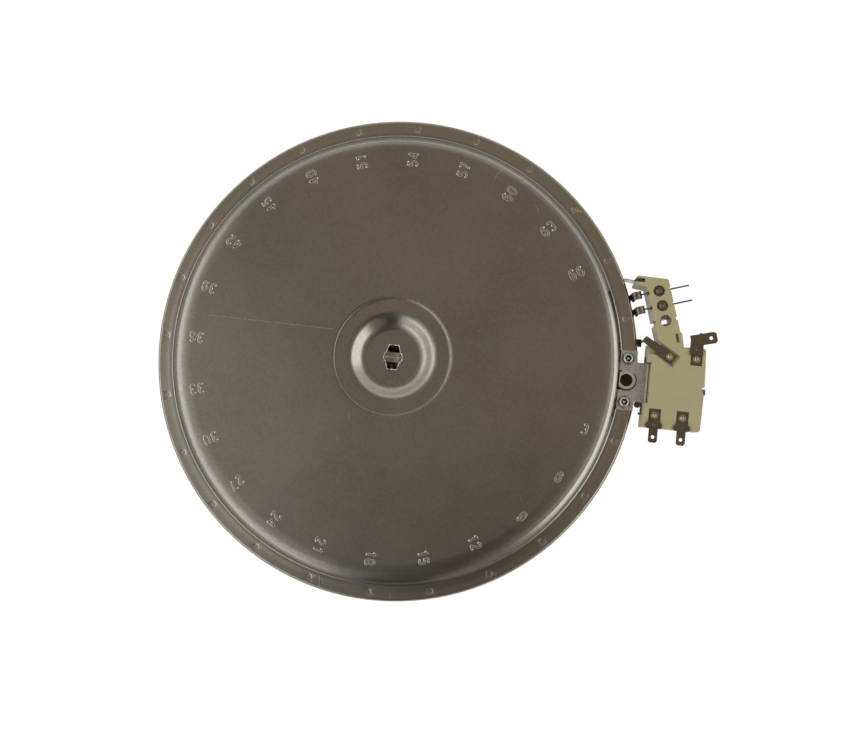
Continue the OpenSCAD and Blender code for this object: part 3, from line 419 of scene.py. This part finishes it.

# %% [markdown]
# The sheet itself has a fine grain, faint clouds of tint, small specks and the scratches that
# the photo shows. Round the flange stand pressed marks, fifteen degrees apart, each a disc that
# is a little brighter than the sheet. The flange is warmer and carries a painted sheen. The sides
# of raised strokes and the burrs get a painted highlight, and so does a line along the bridge.

# %% Sheet steel of the pan
SHEET = srgb(136, 131, 122)
BURR_Z = 21.33
# Flange colour: a warmer tone, with a painted sheen that makes it lighter than the plate
FLANGE_TONE_AND_SHEEN = srgb(158, 149, 128)
DISC_R = 130.5
DISC_HALF = 1.7
# Each scratch: its two ends in plan, its width in millimetres and its strength
SCRATCHES = [
    ((-105.7, 13.1), (-34.5, 12.0), 0.3, 0.4),
    ((46.2, 103.9), (50.1, 110.8), 0.3, 0.5),
    ((71.1, 91.0), (72.2, 88.3), 0.35, 0.45),
    ((77.6, -68.3), (81.1, -76.0), 0.3, 0.3),
    ((-20.5, -33.1), (-20.0, -37.5), 0.3, 0.3),
    ((-25.9, -45.3), (-25.1, -49.6), 0.35, 0.35),
    ((-28.0, -124.5), (-27.4, -130.6), 0.35, 0.7),
    ((-26.4, -126.2), (-24.9, -130.6), 0.3, 0.4),
    ((12.3, -130.0), (12.3, -132.6), 0.3, 0.5),
    ((69.1, -111.2), (69.0, -114.3), 0.35, 0.6),
    ((64.4, -116.1), (66.1, -116.8), 0.3, 0.5),
    ((90.6, 92.6), (96.0, 91.2), 0.9, 0.6),
]


def scratch(paint, x, y, start, end, width):
    """1 on a thin line between two points of the plan, fading at its sides; x and y in millimetres."""
    length = math.dist(start, end)
    ux, uy = (end[0] - start[0]) / length, (end[1] - start[1]) / length
    along = ((x - start[0]) * ux + (y - start[1]) * uy).at_least(0).at_most(length)
    dx = x - (along * ux + start[0])
    dy = y - (along * uy + start[1])
    return paint.fade((dx * dx + dy * dy).root(), width, width * 0.25)


def disc_distance(x, y, radius):
    """Distance in millimetres from the nearest pressed mark's middle."""
    pitch = math.radians(15)
    turn = y.maths("ARCTAN2", y, x) / pitch
    aside = (turn - turn.maths("ROUND", turn)) * pitch * radius
    out = radius - DISC_R
    return (aside * aside + out * out).root()


def pan_sheet():
    paint = Paint("pan_sheet", Metallic=1.0)
    x, y, z = (value / MM for value in paint.parts(paint.place))
    radius = (x * x + y * y).root()
    disc = disc_distance(x, y, radius)
    clouds = paint.noise(38, 3)
    tint = paint.noise(24, 3, 0.6)
    grain = paint.noise(0.6, 3, 0.7)
    coarse = paint.noise(1.6, 3, 0.7)
    specks = paint.fade(paint.noise(1.3, 2, 0.6), 0.71, 0.74)
    colour = paint.blend(paint.fade(clouds, 0.3, 0.7), shade(SHEET, 0.9), shade(SHEET, 1.06))
    colour = paint.blend(paint.fade(tint, 0.45, 0.75) * 0.3, colour, srgb(138, 138, 116))
    # Painted sheen and warmer tone on the flange and skirt, outside a radius of 127 mm
    colour = paint.blend(paint.fade(radius, 127, 128.5) * 0.7, colour, FLANGE_TONE_AND_SHEEN)
    colour = paint.blend(grain * 0.5, colour, shade(SHEET, 0.62))
    colour = paint.blend(paint.fade(coarse, 0.35, 0.7) * 0.3, colour, shade(SHEET, 1.3))
    colour = paint.blend(specks * 0.5, colour, shade(SHEET, 1.7))
    on_disc = paint.fade(disc, DISC_HALF + 0.4, DISC_HALF - 0.3)
    colour = paint.blend(on_disc * 0.35, colour, shade(SHEET, 1.4))
    for start, end, width, strength in SCRATCHES:
        mask = scratch(paint, x, y, start, end, width) * paint.fade(coarse, 0.25, 0.6)
        colour = paint.blend(mask * strength, colour, shade(SHEET, 2.6))
    # Painted highlight: the sloping sides of the raised strokes and the burrs round the openings turn near white and
    # less metallic
    painted_edge_highlight = paint.fade(z, PLATE_Z + 0.01, PLATE_Z + 0.05) * paint.fade(z, PLATE_Z + 0.25, PLATE_Z + 0.2)
    painted_edge_highlight = painted_edge_highlight + paint.fade(z, BURR_Z, BURR_Z + 0.05) * (radius < 9) * paint.fade(coarse, 0.4, 0.62)
    colour = paint.blend(painted_edge_highlight * 0.8, colour, srgb(240, 235, 224))
    # Painted highlight: a bright line along the middle of the bridge between the openings
    bridge_highlight = paint.fade(y.size(), 0.45, 0.2) * (radius < 4.3)
    colour = paint.blend(bridge_highlight * coarse, colour, shade(SHEET, 3.0))
    relief = radial_curve(paint, radius, 14.0, 35.0) + radial_curve(paint, radius, 113.5, 131.5)
    relief = relief + radial_curve(paint, radius, 133.0, 135.2, 12) + grain * 0.005 - on_disc * 0.11
    paint.feed(paint.shader.inputs["Metallic"], 1 - painted_edge_highlight * 0.7)
    surface = paint.node("ShaderNodeNewGeometry", output="Normal")
    level = paint.node("ShaderNodeMix", {0: disc < 2.4, 4: surface, 5: (0.0, 0.0, 1.0)}, output=1, data_type="VECTOR")
    return paint.finish(colour, 0.18 + clouds * 0.05 + grain * 0.08, relief, 1.0, level)


print("pan finish ready")

# %% [markdown]
# The other finishes are built from two recipes: a metal whose tone, grain and oxide spots can
# be set, and a pale mineral body with pores and specks. Each piece then has its own short
# function with the values of its own finish.

# %% Recipes for metals and minerals
SCREW_X = 129.0
SCREW_Y = 12.0
SCREW_TOP = 23.3
BEND_X = 140.9


def metal(name, tone, roughness, grain_mm=0.5, spots=0.3, spot_mm=3.0, spot_tone=None, relief=0.01,
          touch=None):
    """Touch is a function that may change the colour where a piece differs from the rest."""
    paint = Paint(name, Metallic=1.0)
    grain = paint.noise(grain_mm, 3, 0.65)
    patches = paint.fade(paint.noise(spot_mm, 3, 0.6), 0.42, 0.68)
    colour = paint.blend(grain, shade(tone, 0.85), shade(tone, 1.15))
    colour = paint.blend(patches * spots, colour, spot_tone or shade(tone, 0.6))
    if touch:
        colour = touch(paint, colour, *(value / MM for value in paint.parts(paint.place)))
    return paint.finish(colour, roughness + grain * 0.12 + patches * 0.08, grain, relief)


def mineral(name, tone, roughness, pore_mm=0.8, speck_tone=None, specks=0.5, relief=0.06, touch=None):
    paint = Paint(name)
    clouds = paint.noise(9, 3)
    pores = paint.noise(pore_mm, 4, 0.7)
    dots = paint.fade(paint.noise(pore_mm * 1.7, 2, 0.7), 0.64, 0.72)
    colour = paint.blend(clouds, shade(tone, 0.93), shade(tone, 1.05))
    colour = paint.blend(dots * specks, colour, speck_tone or shade(tone, 0.7))
    if touch:
        colour = touch(paint, colour, *(value / MM for value in paint.parts(paint.place)))
    return paint.finish(colour, roughness + pores * 0.1, pores, relief)


def dark_strap(paint, colour, x, y, z):
    """The strap lies apart from the leads and is tarnished darker."""
    return paint.blend(paint.fade(y, 32, 29) * 0.85, colour, srgb(84, 76, 66))


def drive_recess(paint, colour, x, y, z):
    """Painted shade darkens a screw's drive inside, with a painted glint in its middle."""
    across = x - SCREW_X
    along = y.size() - SCREW_Y
    away = (across * across + along * along).root()
    # Painted shade in the drive, and a painted glint at its middle that is less metallic
    inside = paint.fade(away, 2.0, 1.8) * paint.fade(z, SCREW_TOP, SCREW_TOP - 0.2)
    glint = inside * paint.fade(away, 0.95, 0.6)
    paint.feed(paint.shader.inputs["Metallic"], 1 - glint * 0.9)
    colour = paint.blend(inside, colour, srgb(78, 76, 73))
    return paint.blend(glint, colour, srgb(250, 248, 240))


def bore_distance(x, y):
    """Distance in millimetres from the axis of the bracket's bore."""
    across = x - SCREW_X
    return (across * across + y * y).root()


def dark_bore(paint, colour, x, y, z):
    """The insulation below the bracket's bore lies in deep shade."""
    return paint.blend(paint.fade(bore_distance(x, y), 5.2, 4.6), colour, srgb(132, 126, 112))


def bright_bend(paint, colour, x, y, z):
    """The bracket gets a painted highlight along its bend and on its collar, and a painted shadow round the collar's
    foot.
    """
    away = bore_distance(x, y)
    # Painted shadow: a dark band round the collar's foot, stronger on its lower right side
    foot = paint.fade(away, 4.7, 5.2) * paint.fade(away, 6.0, 5.5) * paint.fade(x - y, SCREW_X - 3, SCREW_X + 3)
    colour = paint.blend(foot, colour, srgb(62, 58, 54))
    # Painted highlight on the collar
    colour = paint.blend(paint.fade(away, 5.0, 4.5) * 0.45, colour, srgb(198, 194, 182))
    # Painted highlight along the bend, less metallic
    bend = paint.fade(x, BEND_X - 1.5, BEND_X - 1.1)
    paint.feed(paint.shader.inputs["Metallic"], 1 - bend * 0.75)
    return paint.blend(bend, colour, srgb(226, 226, 220))


def bed():
    """The pan's insulation, with painted shade that darkens it under the openings in the dish."""
    paint = Paint("mineral_bed")
    x, y, z = (value / MM for value in paint.parts(paint.place))
    pores = paint.noise(0.7, 4, 0.7)
    dots = paint.fade(paint.noise(1.2, 2, 0.7), 0.64, 0.72)
    tone = paint.blend(paint.noise(9, 3), srgb(206, 200, 184), srgb(220, 214, 198))
    tone = paint.blend(dots * 0.35, tone, srgb(150, 128, 88))
    # Painted shade: near black, in patches, where the insulation lies under the openings in the dish
    pocket_shade = paint.fade((x * x + y * y).root(), 14, 10) * paint.fade(z, 12.5, 13.5)
    pocket_shade_tone = paint.blend(paint.fade(paint.noise(2.6, 3, 0.6), 0.5, 0.58), srgb(14, 13, 11), srgb(168, 160, 150))
    tone = dark_bore(paint, paint.blend(pocket_shade, tone, pocket_shade_tone), x, y, z)
    return paint.finish(tone, 0.85 + pores * 0.1, pores, 0.06)


def steatite(name, tone):
    """Fired electrical ceramic: smooth, waxy, with a faint speckle."""
    paint = Paint(name, Specular_IOR_Level=0.5)
    clouds = paint.noise(7, 3)
    fine = paint.noise(0.4, 3, 0.6)
    dirt = paint.fade(paint.noise(2.4, 3, 0.7), 0.62, 0.78)
    colour = paint.blend(clouds, shade(tone, 0.94), shade(tone, 1.05))
    colour = paint.blend(fine * 0.25, colour, shade(tone, 0.82))
    colour = paint.blend(dirt * 0.3, colour, srgb(128, 112, 80))
    return paint.finish(colour, 0.42 + fine * 0.1, fine, 0.02)


def quartz():
    """Milky drawn quartz: light passes, shapes behind it blur."""
    paint = Paint("quartz", Transmission_Weight=0.75, IOR=1.46)
    drawn = paint.noise(0.8, 3, place=paint.stretched(0.05, 1, 1))
    colour = paint.blend(drawn, srgb(222, 222, 216), srgb(240, 240, 236))
    return paint.finish(colour, 0.2 + drawn * 0.15)


FINISHES = {
    "pan_sheet": pan_sheet,
    "mineral_bed": bed,
    "mineral_ring": lambda: mineral("mineral_ring", srgb(205, 198, 180), 0.85, 1.0, srgb(168, 146, 96), 0.5, 0.1,
                                    dark_bore),
    "ribbon_alloy": lambda: metal("ribbon_alloy", srgb(104, 98, 92), 0.42, spots=0.4, spot_tone=srgb(70, 66, 76)),
    "lead_strip": lambda: metal("lead_strip", srgb(140, 126, 108), 0.4, spots=0.5, spot_mm=2, spot_tone=srgb(82, 76, 78),
                                touch=dark_strap),
    "lead_wire": lambda: metal("lead_wire", srgb(92, 90, 96), 0.35, 0.3),
    "splice_metal": lambda: metal("splice_metal", srgb(128, 118, 106), 0.38, 0.4),
    "anchor_strip": lambda: metal("anchor_strip", srgb(182, 178, 170), 0.28, 0.5),
    "steatite": lambda: steatite("steatite", srgb(152, 142, 105)),
    "steatite_cover": lambda: steatite("steatite_cover", srgb(158, 148, 113)),
    "bracket_sheet": lambda: metal("bracket_sheet", srgb(178, 174, 165), 0.34, 0.7, 0.4, 1.6, srgb(112, 108, 100), 0.02,
                                   bright_bend),
    "zinc_screw": lambda: metal("zinc_screw", srgb(166, 166, 162), 0.26, 0.3, 0.2, 1.5, touch=drive_recess),
    "spring_leaf": lambda: metal("spring_leaf", srgb(88, 88, 90), 0.32, 0.5, 0.4, 2.0, srgb(54, 52, 54)),
    "terminal_metal": lambda: metal("terminal_metal", srgb(102, 91, 75), 0.34, 0.5, 0.45, 2.0, srgb(66, 58, 50)),
    "rivet_metal": lambda: metal("rivet_metal", srgb(156, 141, 112), 0.26, 0.4, 0.3, 1.0),
    "quartz": quartz,
    "expander_alloy": lambda: metal("expander_alloy", srgb(146, 138, 130), 0.4),
    "small_steel": lambda: metal("small_steel", srgb(176, 174, 168), 0.32),
    "disc_ceramic": lambda: mineral("disc_ceramic", srgb(226, 220, 204), 0.5, 0.5, None, 0.3, 0.02),
    "contact_brass": lambda: metal("contact_brass", srgb(190, 156, 96), 0.32, 0.4, 0.3, 2.0),
    "set_screw": lambda: metal("set_screw", srgb(112, 108, 112), 0.34, 0.3, 0.4, 1.2, srgb(120, 88, 58)),
}
paints = {slot: make() for slot, make in FINISHES.items()}
print("finishes:", len(paints))

# %% [markdown]
# The record says which slot each piece takes its finish from. Pieces that lie inside and show
# only through gaps keep their solid and just get the finish. Pieces that show get a copy with
# merged points, smooth faces and a small round along their edges, because a real pressed or
# moulded edge always catches a line of light.

# %% Dress the solids
MERGE = 0.002 * MM
SOFT_EDGES = {
    "ceramic_base": 0.35,
    "ceramic_cover": 0.35,
    "limiter_bracket": 0.2,
    "bracket_screw_upper": 0.12,
    "bracket_screw_lower": 0.12,
    "retaining_leaf": 0.1,
    "heater_strap": 0.12,
    "outer_lead": 0.12,
    "inner_lead": 0.12,
    "outer_splice": 0.12,
    "inner_splice": 0.12,
    "power_tab": 0.14,
    "signal_tab_left": 0.14,
    "signal_tab_right": 0.14,
    "strap_rivet": 0.15,
    "power_rivet": 0.15,
    "signal_rivet_left": 0.15,
    "signal_rivet_right": 0.15,
    "rim_ring": 0.3,
    "divider_ring": 0.3,
    "calibration_screw": 0.2,
}
SMOOTH_ONLY = ["pan", "base_insulation", "outer_wire", "inner_wire", "limiter_tube", "return_spring"]
RIBBONS = ["outer_ribbon", "inner_ribbon"]
FOLD_R = 1.1
node_slot = {part["node"]: part["material_slot"] for part in frame["record"]["subparts"]}
print("nodes with a slot:", len(node_slot))


def merged(name, sharp=35.0):
    """A copy of a solid with its loose triangles joined and hard edges marked."""
    mesh = bpy.data.meshes.new(name + "_piece")
    work = bmesh.new()
    work.from_mesh(frame["nodes"][name].data)
    bmesh.ops.remove_doubles(work, verts=work.verts, dist=MERGE)
    for face in work.faces:
        face.smooth = True
    for edge in work.edges:
        flat = len(edge.link_faces) == 2 and edge.calc_face_angle(0) < math.radians(sharp)
        edge.smooth = flat
    work.to_mesh(mesh)
    work.free()
    piece = bpy.data.objects.new(name + "_piece", mesh)
    scene.collection.objects.link(piece)
    return piece


def dissolved(piece):
    work = bmesh.new()
    work.from_mesh(piece.data)
    bmesh.ops.dissolve_limit(work, angle_limit=math.radians(0.5), verts=work.verts, edges=work.edges)
    work.to_mesh(piece.data)
    work.free()


def settled(piece):
    """The piece with its modifiers worked into its mesh."""
    bpy.context.view_layer.update()
    graph = bpy.context.evaluated_depsgraph_get()
    made = bpy.data.meshes.new_from_object(piece.evaluated_get(graph), preserve_all_data_layers=True, depsgraph=graph)
    piece.modifiers.clear()
    piece.data = made
    return piece


def smoothed(name):
    """Large faces stay flat and small ones between them take the bend, as in pressed sheet."""
    piece = merged(name)
    normals = piece.modifiers.new("normals", "WEIGHTED_NORMAL")
    normals.mode = "FACE_AREA"
    normals.keep_sharp = True
    return settled(piece)


def corrugated(name):
    """The heating ribbon with its folds rounded: only its upright edges get a bevel."""
    piece = merged(name, 10.0)
    dissolved(piece)
    mesh = piece.data
    weights = mesh.attributes.new("bevel_weight_edge", "FLOAT", "EDGE")
    for edge, weight in zip(mesh.edges, weights.data):
        start, end = (mesh.vertices[i].co for i in edge.vertices)
        weight.value = float(abs(end.z - start.z) > 0.7 * (end - start).length)
    bevel = piece.modifiers.new("folds", "BEVEL")
    bevel.width = FOLD_R * MM
    bevel.segments = 4
    bevel.limit_method = "WEIGHT"
    return settled(piece)


def softened(name, width):
    piece = merged(name)
    dissolved(piece)
    bevel = piece.modifiers.new("soft_edge", "BEVEL")
    bevel.width = width * MM
    bevel.segments = 2
    bevel.limit_method = "ANGLE"
    bevel.angle_limit = math.radians(30)
    bevel.harden_normals = True
    return settled(piece)


def dress(piece, name):
    piece.data.materials.clear()
    piece.data.materials.append(paints[node_slot[name]])
    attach(piece, "root")
    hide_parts(name)


for name, node in frame["nodes"].items():
    if name in SOFT_EDGES:
        dress(softened(name, SOFT_EDGES[name]), name)
    elif name in SMOOTH_ONLY:
        dress(smoothed(name), name)
    elif name in RIBBONS:
        dress(corrugated(name), name)
    else:
        node.data.materials.clear()
        node.data.materials.append(paints[node_slot[name]])
print("soft edges:", len(SOFT_EDGES), "smooth:", len(SMOOTH_ONLY))

# %% [markdown]
# Strokes that are pressed up from the sheet come from a Geometry Nodes tree: it takes a mesh of
# plain edges, makes each chain of edges a curve, and sweeps a low bar with sloping sides along it
# that is half sunk into the sheet. The ends of open strokes are drawn in, so they look rounded.

# %% A tree that presses strokes


class Grower(Tree):
    """A Geometry Nodes tree with named inputs that turns a mesh into a dressed solid."""

    def __init__(self, name, **inputs):
        super().__init__(bpy.data.node_groups.new(name, "GeometryNodeTree"))
        face = self.tree.interface
        face.new_socket("Geometry", in_out="INPUT", socket_type="NodeSocketGeometry")
        self.keys = {key: face.new_socket(key, in_out="INPUT", socket_type=kind).identifier
                     for key, kind in inputs.items()}
        face.new_socket("Geometry", in_out="OUTPUT", socket_type="NodeSocketGeometry")
        self.entry = self.tree.nodes.new("NodeGroupInput")

    def given(self, name):
        return Wire(self, self.entry.outputs[name])

    def hand_over(self, geometry):
        real = self.node("GeometryNodeRealizeInstances", {"Geometry": geometry})
        painted = self.node("GeometryNodeSetMaterial", {"Geometry": real, "Material": self.given("Material")})
        self.node("NodeGroupOutput", {"Geometry": painted})
        return self

    def grow(self, name, mesh, **values):
        """An object made of the mesh by this tree, with the tree's result as its own mesh."""
        piece = bpy.data.objects.new(name, mesh)
        scene.collection.objects.link(piece)
        modifier = piece.modifiers.new(name, "NODES")
        modifier.node_group = self.tree
        for key, value in values.items():
            modifier[self.keys[key]] = value
        return settled(piece)


def pressed_strokes():
    tree = Grower("pressed_strokes", Width="NodeSocketFloat", Height="NodeSocketFloat", Material="NodeSocketMaterial")
    width, height = tree.given("Width"), tree.given("Height")
    path = tree.node("GeometryNodeMeshToCurve", {"Mesh": tree.given("Geometry")})
    path = tree.node("GeometryNodeResampleCurve", {"Curve": path, "Length": width * 0.25}, mode="LENGTH")
    path = tree.node("GeometryNodeSetCurveNormal", {"Curve": path}, mode="Z_UP")
    bar = tree.node("GeometryNodeCurvePrimitiveQuadrilateral", {
        "Bottom Width": width * 1.5, "Top Width": width * 0.5, "Height": height * 2, "Offset": 0.0}, mode="TRAPEZOID")
    bar = tree.node("GeometryNodeFilletCurve", {"Curve": bar, "Count": 2, "Radius": height * 0.4,
                                                "Limit Radius": True}, mode="POLY")
    here = tree.node("GeometryNodeSplineParameter", output="Length")
    whole = tree.node("GeometryNodeSplineLength", output="Length")
    inset = (here.at_most(whole - here) / (width * 0.5)).at_most(1)
    drawn_in = (inset * (2 - inset)).root().at_least(0.3)
    closed = tree.node("GeometryNodeInputSplineCyclic")
    solid = tree.node("GeometryNodeCurveToMesh", {"Curve": path, "Profile Curve": bar, "Fill Caps": True,
                                                  "Scale": drawn_in.at_least(closed)})
    return tree.hand_over(tree.node("GeometryNodeSetShadeSmooth", {"Geometry": solid}))


strokes = pressed_strokes()
print("inputs of the tree:", list(strokes.keys))

# %% [markdown]
# Index numbers stand round the edge of the plate, every third one from 3 to 66, fifteen degrees
# apart, and read outward. Each digit is a few lines and arcs in a box from -1 to 1; the box's
# size and the places of the digits come from the photo.

# %% Index numbers
DIGIT_HALF = Vector((1.35, 2.6)) * MM
DIGIT_STEP = 4.6
LAST_DIGIT_R = {1: 112.8, 2: 113.5}
STROKE_W = 0.95
STROKE_H = 0.24


def arc(x, y, rx, ry, start, end, steps=10):
    """Points on part of an ellipse, between two angles in degrees."""
    turns = [math.radians(start + (end - start) * i / steps) for i in range(steps + 1)]
    return [(x + rx * math.cos(a), y + ry * math.sin(a)) for a in turns]


def ring(x, y, rx, ry):
    return arc(x, y, rx, ry, 0, 360, 20)


DIGITS = {
    "0": [arc(0, 0.4, 0.95, 0.6, 0, 180) + arc(0, -0.4, 0.95, 0.6, 180, 360) + [(0.95, 0.4)]],
    "1": [[(-0.55, 0.55), (0.35, 1), (0.35, -1)]],
    "2": [arc(0, 0.45, 0.9, 0.55, 170, -35) + [(-0.95, -1), (1, -1)]],
    "3": [arc(-0.05, 0.5, 0.9, 0.5, 150, -80), arc(-0.05, -0.48, 1, 0.52, 85, -150)],
    "4": [[(0.95, -0.45), (-1, -0.45), (0.5, 1), (0.5, -1)]],
    "5": [[(0.85, 1), (-0.75, 1), (-0.85, 0.1)] + arc(-0.05, -0.38, 1, 0.62, 125, -150)],
    "6": [arc(0, 0.4, 0.95, 0.6, 30, 180) + [(-0.95, -0.4)], ring(0, -0.42, 0.95, 0.58)],
    "7": [[(-1, 1), (0.95, 1), (-0.15, -1)]],
    "8": [ring(0, 0.52, 0.82, 0.48), ring(0, -0.47, 0.98, 0.53)],
    "9": [arc(0, -0.4, 0.95, 0.6, -150, 0) + [(0.95, 0.4)], ring(0, 0.42, 0.95, 0.58)],
}


def edge_mesh(name, lines):
    """Chains of points as plain edges; a chain that ends where it began is closed."""
    points, edges = [], []
    for line in lines:
        first = len(points)
        closed = (line[0] - line[-1]).length < MERGE
        points += line[:-1] if closed else line
        edges += [(i, i + 1) for i in range(first, len(points) - 1)]
        if closed:
            edges.append((len(points) - 1, first))
    mesh = bpy.data.meshes.new(name)
    mesh.from_pydata(points, edges, [])
    return mesh


def number_lines(number, height):
    """The strokes of one number, placed on the plate."""
    text = str(number)
    lines = []
    for i, digit in enumerate(text):
        radius = (LAST_DIGIT_R[len(text)] - DIGIT_STEP * (len(text) - 1 - i)) * MM
        turn = Matrix.Rotation(math.radians(-5 * number), 4, "Z")
        for stroke in DIGITS[digit]:
            lines.append([turn @ Vector((radius + x * DIGIT_HALF.x, y * DIGIT_HALF.y, height)) for x, y in stroke])
    return lines


plate_top = max(vertex.co.z for vertex in frame["nodes"]["pan"].data.vertices)
digit_lines = [line for number in range(3, 67, 3) for line in number_lines(number, plate_top)]
numbers = strokes.grow("index_numbers", edge_mesh("digit_lines", digit_lines),
                       Width=STROKE_W * MM, Height=STROKE_H * MM, Material=paints["pan_sheet"])
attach(numbers, "root")
heights = [vertex.co.z / MM for vertex in numbers.data.vertices]
print("index numbers:", len(digit_lines), "strokes,", len(numbers.data.polygons), "faces, z",
      round(min(heights), 2), "to", round(max(heights), 2))

# %% [markdown]
# Shearing and pressing left a fine raised burr round the two openings and the bridge between
# them, which shines in the photo. The same tree draws it with a thinner bar.

# %% Burrs at the openings
BURRS = [
    [(-4.0, 2.6), (-2.7, 6.8), (2.7, 6.8), (4.0, 2.6)],
    [(-4.0, -2.6), (-2.7, -6.8), (2.7, -6.8), (4.0, -2.6)],
    [(-4.0, 2.6), (-4.75, 2.0), (-5.2, 0.8), (-5.2, -0.8), (-4.75, -2.0), (-4.0, -2.6)],
    [(4.0, 2.6), (4.75, 2.0), (5.2, 0.8), (5.2, -0.8), (4.75, -2.0), (4.0, -2.6)],
]
burr_lines = [[Vector((x, y, BURR_Z)) * MM for x, y in line] for line in BURRS]
burrs = strokes.grow("opening_burrs", edge_mesh("burr_lines", burr_lines),
                     Width=0.34 * MM, Height=0.2 * MM, Material=paints["pan_sheet"])
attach(burrs, "root")
print("burrs:", len(burrs.data.polygons), "faces")
